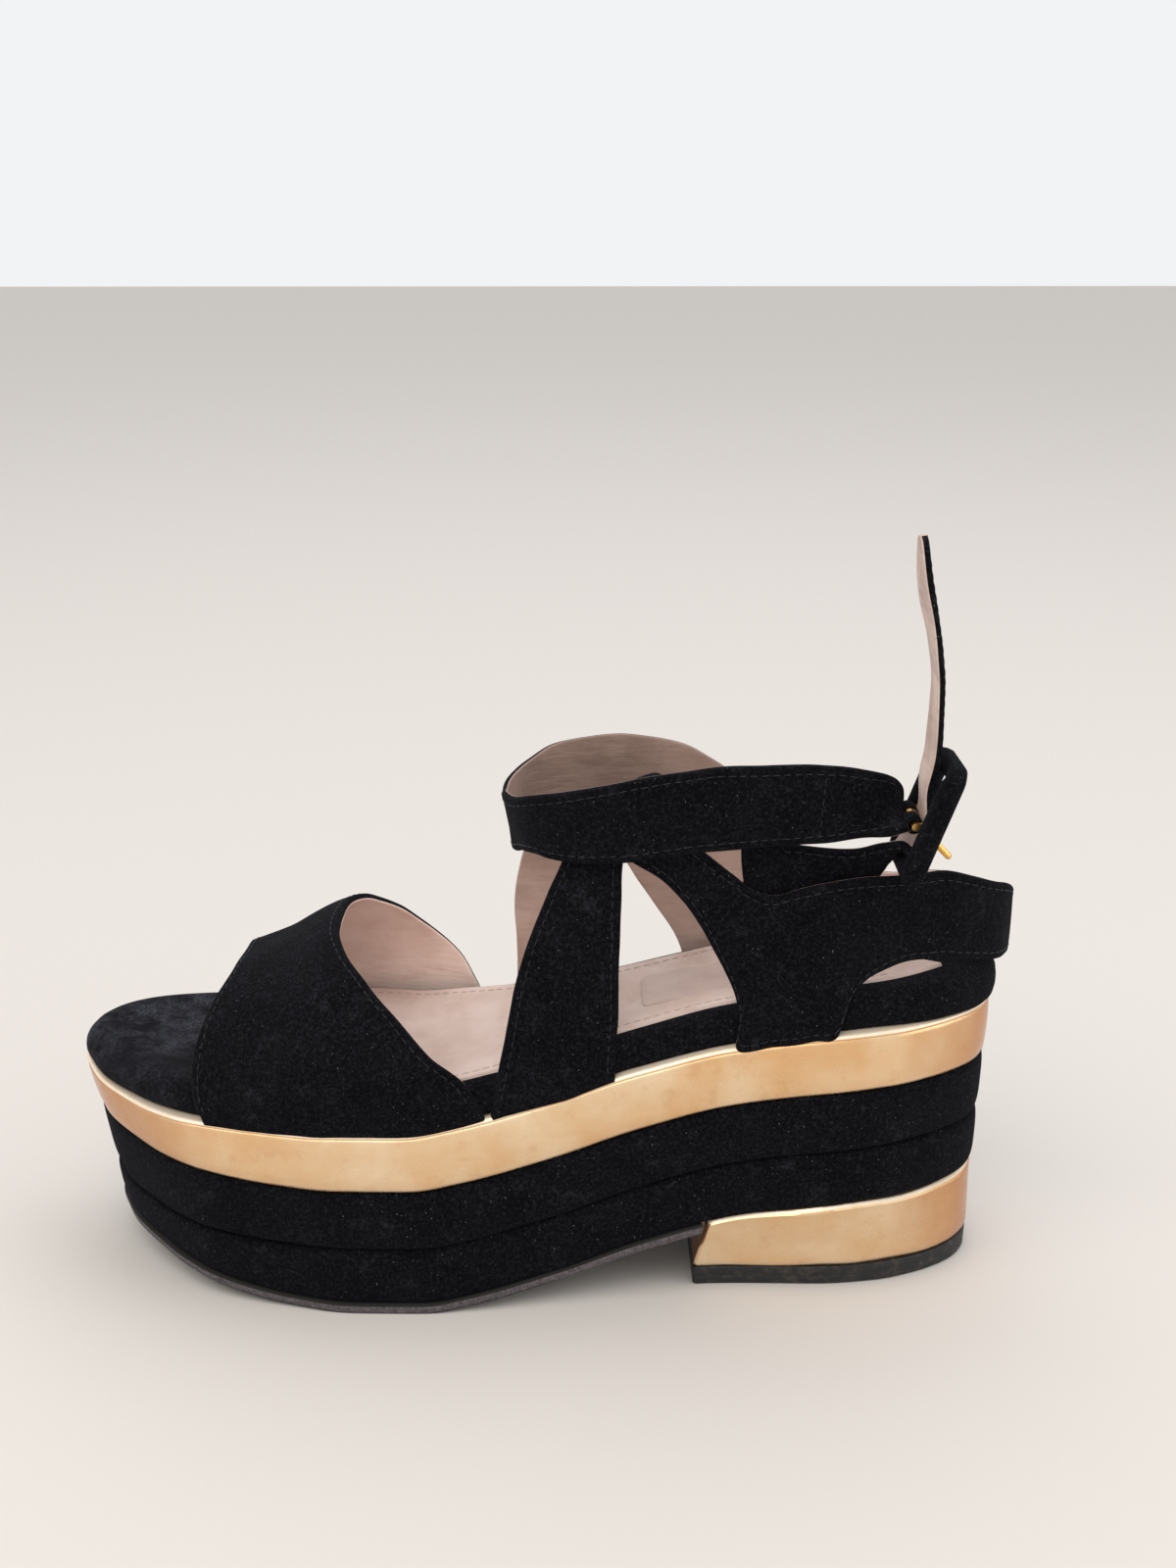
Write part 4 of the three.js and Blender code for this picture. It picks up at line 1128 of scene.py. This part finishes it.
ankle_surface = ribbon(ankle_rows)
ankle_lining = lining_material("ankle_lining_painted_shade_leather", ankle_lining_pink, ankle_lining_shade)
points, faces, slots = strap_mesh(ankle_surface, 260, 12, -1)


def fold_round_bar(near, far):
    """A sleeve of leather round the bar between two places along it, eased at its outer edges."""
    eased = wrap_outer - wrap_edge
    profile = [(near, eased), (near + wrap_edge, wrap_outer), (far - wrap_edge, wrap_outer), (far, eased)]
    rings = []
    for y, size in profile + [(far, wrap_inner), (near, wrap_inner)]:
        rings.append([bar_centre + Vector((c * size, y, s * size)) for c, s in circle(18)])
    return loft(rings, closed=True)


for near, far in ((-wrap_half, -prong_gap), (prong_gap, wrap_half)):
    sleeve_points, sleeve_faces = fold_round_bar(near, far)
    join(points, faces, sleeve_points, sleeve_faces)
    slots += [0] * len(sleeve_faces)
ankle = add_piece("ankle_strap_suede", lie_soft(points), faces, [strap_suede, ankle_lining], slots)
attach(ankle, "root")
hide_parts("ankle_strap")


def sewn_across(u, v):
    """The line across the ankle strap where its folded end is sewn down."""
    return ankle_surface(0.184 - 0.006 * u + 0.01 * v, 0.04 + 0.92 * u)


rows = [stitch_row(ankle_surface, edge, stitch_inset, -1, 0.07) for edge in (0, 1)]
rows.append(stitch_row(sewn_across, 0, 0.2, 1))
ankle_stitches = add_stitches("ankle_strap_stitches", rows, black_thread, lie_soft)


# Tip strap: the other end, sewn inside the lateral quarter, passed up through the buckle and left standing.
# Its suede side faces back and its pale lining faces the toe; the tip is cut round.
tip_width = 14
tip_rise = 73
tip_stitch_inset = 1.8
tip_lining_pink = "#d3bdb3"
tip_lining_shade = "#a88d82"


def tip_row(along, up, width):
    """The strap's two edges above the buckle, by shares of its rise and of its width."""
    x = buckle_centre.x + along * tip_rise
    z = buckle_centre.z + up * tip_rise
    half = width * tip_width / 2
    return (Vector((x, buckle_centre.y + half, z)), Vector((x, buckle_centre.y - half, z)))


tip_rows = [
    ((0.722, -0.86, 0.44), (0.718, -0.86, 0.66)),
    ((0.772, -0.85, 0.44), (0.77, -0.85, 0.653)),
    ((0.807, -0.85, 0.44), (0.805, -0.85, 0.64)),
    ((0.836, -0.84, 0.44), (0.836, -0.86, 0.633)),
    ((0.856, -0.77, 0.49), (0.86, -0.96, 0.66)),
    ((0.872, -0.76, 0.565), (0.878, -1.12, 0.687)),
    tip_row(-0.06, -0.11, 1),
    tip_row(-0.017, -0.06, 1),
    tip_row(-0.002, 0.02, 1),
    tip_row(-0.006, 0.12, 1),
    tip_row(0.014, 0.25, 1),
    tip_row(0.021, 0.42, 1),
    tip_row(0.001, 0.63, 1),
    tip_row(-0.036, 0.82, 1),
    tip_row(-0.051, 0.93, 0.8),
    tip_row(-0.056, 0.985, 0.45),
    tip_row(-0.058, 1, 0.15),
]
tip_surface = ribbon(tip_rows)
points, faces, slots = strap_mesh(tip_surface, 160, 8, 1)
tip_lining = lining_material("tip_lining_leather", tip_lining_pink, tip_lining_shade)
tip = add_piece("tip_strap_suede", lie_soft(points), faces, [strap_suede, tip_lining], slots)
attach(tip, "root")
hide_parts("tip_strap")
rows = [stitch_row(tip_surface, edge, tip_stitch_inset, 1, 0.05, 0.9) for edge in (0, 1)]
tip_stitches = add_stitches("tip_strap_stitches", rows, black_thread, lie_soft)


# Buckle frame: a stamped metal rectangle covered in the same suede, so its corners are soft.
# It hangs tilted back, and the tip strap comes up between it and the bar.
frame_length = 34
frame_width = 27
frame_leg = 5
frame_height = 3.8
frame_tilt = 20.5
frame_corner = 3.2
frame_squareness = 0.7
leg_padding = 1.1

tilted = Matrix.Rotation(math.radians(frame_tilt), 4, "Y")
outline = rounded_corner_path(frame_width - frame_leg, frame_length - frame_leg, frame_corner)
rings = []
for i, p in enumerate(outline):
    before, after = outline[i - 1], outline[(i + 1) % len(outline)]
    ahead = (after - before).normalized()
    aside = Vector((ahead.y, -ahead.x))
    padding = leg_padding * abs(2 * p.x / (frame_width - frame_leg)) ** 4
    ring = []
    for c, s in circle(14):
        wide = signed_power(c, frame_squareness) * frame_leg / 2
        deep = signed_power(s, frame_squareness) * (frame_height / 2 + padding) - padding
        across, up = p.x + aside.x * wide, p.y + aside.y * wide
        ring.append(buckle_centre + tilted @ Vector((deep, across, up)))
    rings.append(ring)
points, faces = loft(rings, closed=True)
buckle_frame = add_piece("buckle_frame_suede", wavy(points, 5, 0.3, 21), faces, [strap_suede])
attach(buckle_frame, "root")
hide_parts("buckle_frame")


# Buckle bar and prong: brass plated a warm gold, paler where it is worn.
# The prong is bent round the bar and points down through the strap.
plating_deep = "#d79a3c"
plating_pale = "#f0c987"
plated_gold, tree, place = new_material("gold_plated_brass")
wear = clouds(tree, place, 1.2, 4)
finish_material(
    tree,
    {"Metallic": 1},
    {
        "Base Color": blend_colours(tree, steps(tree, wear, 0.35, 0.75), plating_deep, plating_pale),
        "Roughness": steps(tree, wear, -0.6, 3.2),
    },
)
for name in ("buckle_bar", "buckle_prong"):
    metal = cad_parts[name]
    metal.data.materials.clear()
    metal.data.materials.append(plated_gold)


# Floor and light: a plain pale floor in a pale room. A large soft window lights the shoe from above
# and in front, a wide ceiling from above and behind, and a weaker light from the heel's side.
floor_pale = "#cfc9c3"
room_pale = "#e8e9ea"
room_strength = 1.1
reach = 4
floor = bpy.data.objects.new("floor", bpy.data.meshes.new("floor"))
corners = [(-reach, -reach, 0), (reach, -reach, 0), (reach, reach, 0), (-reach, reach, 0)]
floor.data.from_pydata(corners, [], [(0, 1, 2, 3)])
bpy.context.scene.collection.objects.link(floor)
painted_floor, tree, place = new_material("painted_floor")
finish_material(tree, {"Roughness": 0.8, "Base Color": linear(floor_pale)}, {})
floor.data.materials.append(painted_floor)


def add_light(name, place, target, size, power, colour="#ffffff"):
    """A soft rectangular light that looks at a target; places and sizes are in metres."""
    light = bpy.data.objects.new(name, bpy.data.lights.new(name, "AREA"))
    light.data.shape = "RECTANGLE"
    light.data.size, light.data.size_y = size
    light.data.energy = power
    light.data.color = linear(colour)[:3]
    light.location = place
    light.rotation_mode = "QUATERNION"
    light.rotation_quaternion = (Vector(target) - Vector(place)).to_track_quat("-Z", "Y")
    bpy.context.scene.collection.objects.link(light)


add_light("window", (-0.5, -0.9, 1.3), (0, 0, 0.08), (1.6, 1.1), 12, "#fffaf4")
add_light("ceiling", (0.3, 0.5, 1.5), (0, 0, 0.08), (1.8, 1.4), 7, "#f7faff")
add_light("side", (1.3, -0.5, 0.7), (0, 0, 0.08), (0.9, 0.9), 4)

world = bpy.data.worlds.new("room")
world.use_nodes = True
sky = world.node_tree.nodes["Background"]
sky.inputs["Color"].default_value = linear(room_pale)
sky.inputs["Strength"].default_value = room_strength
bpy.context.scene.world = world
bpy.context.scene.view_settings.view_transform = "Standard"
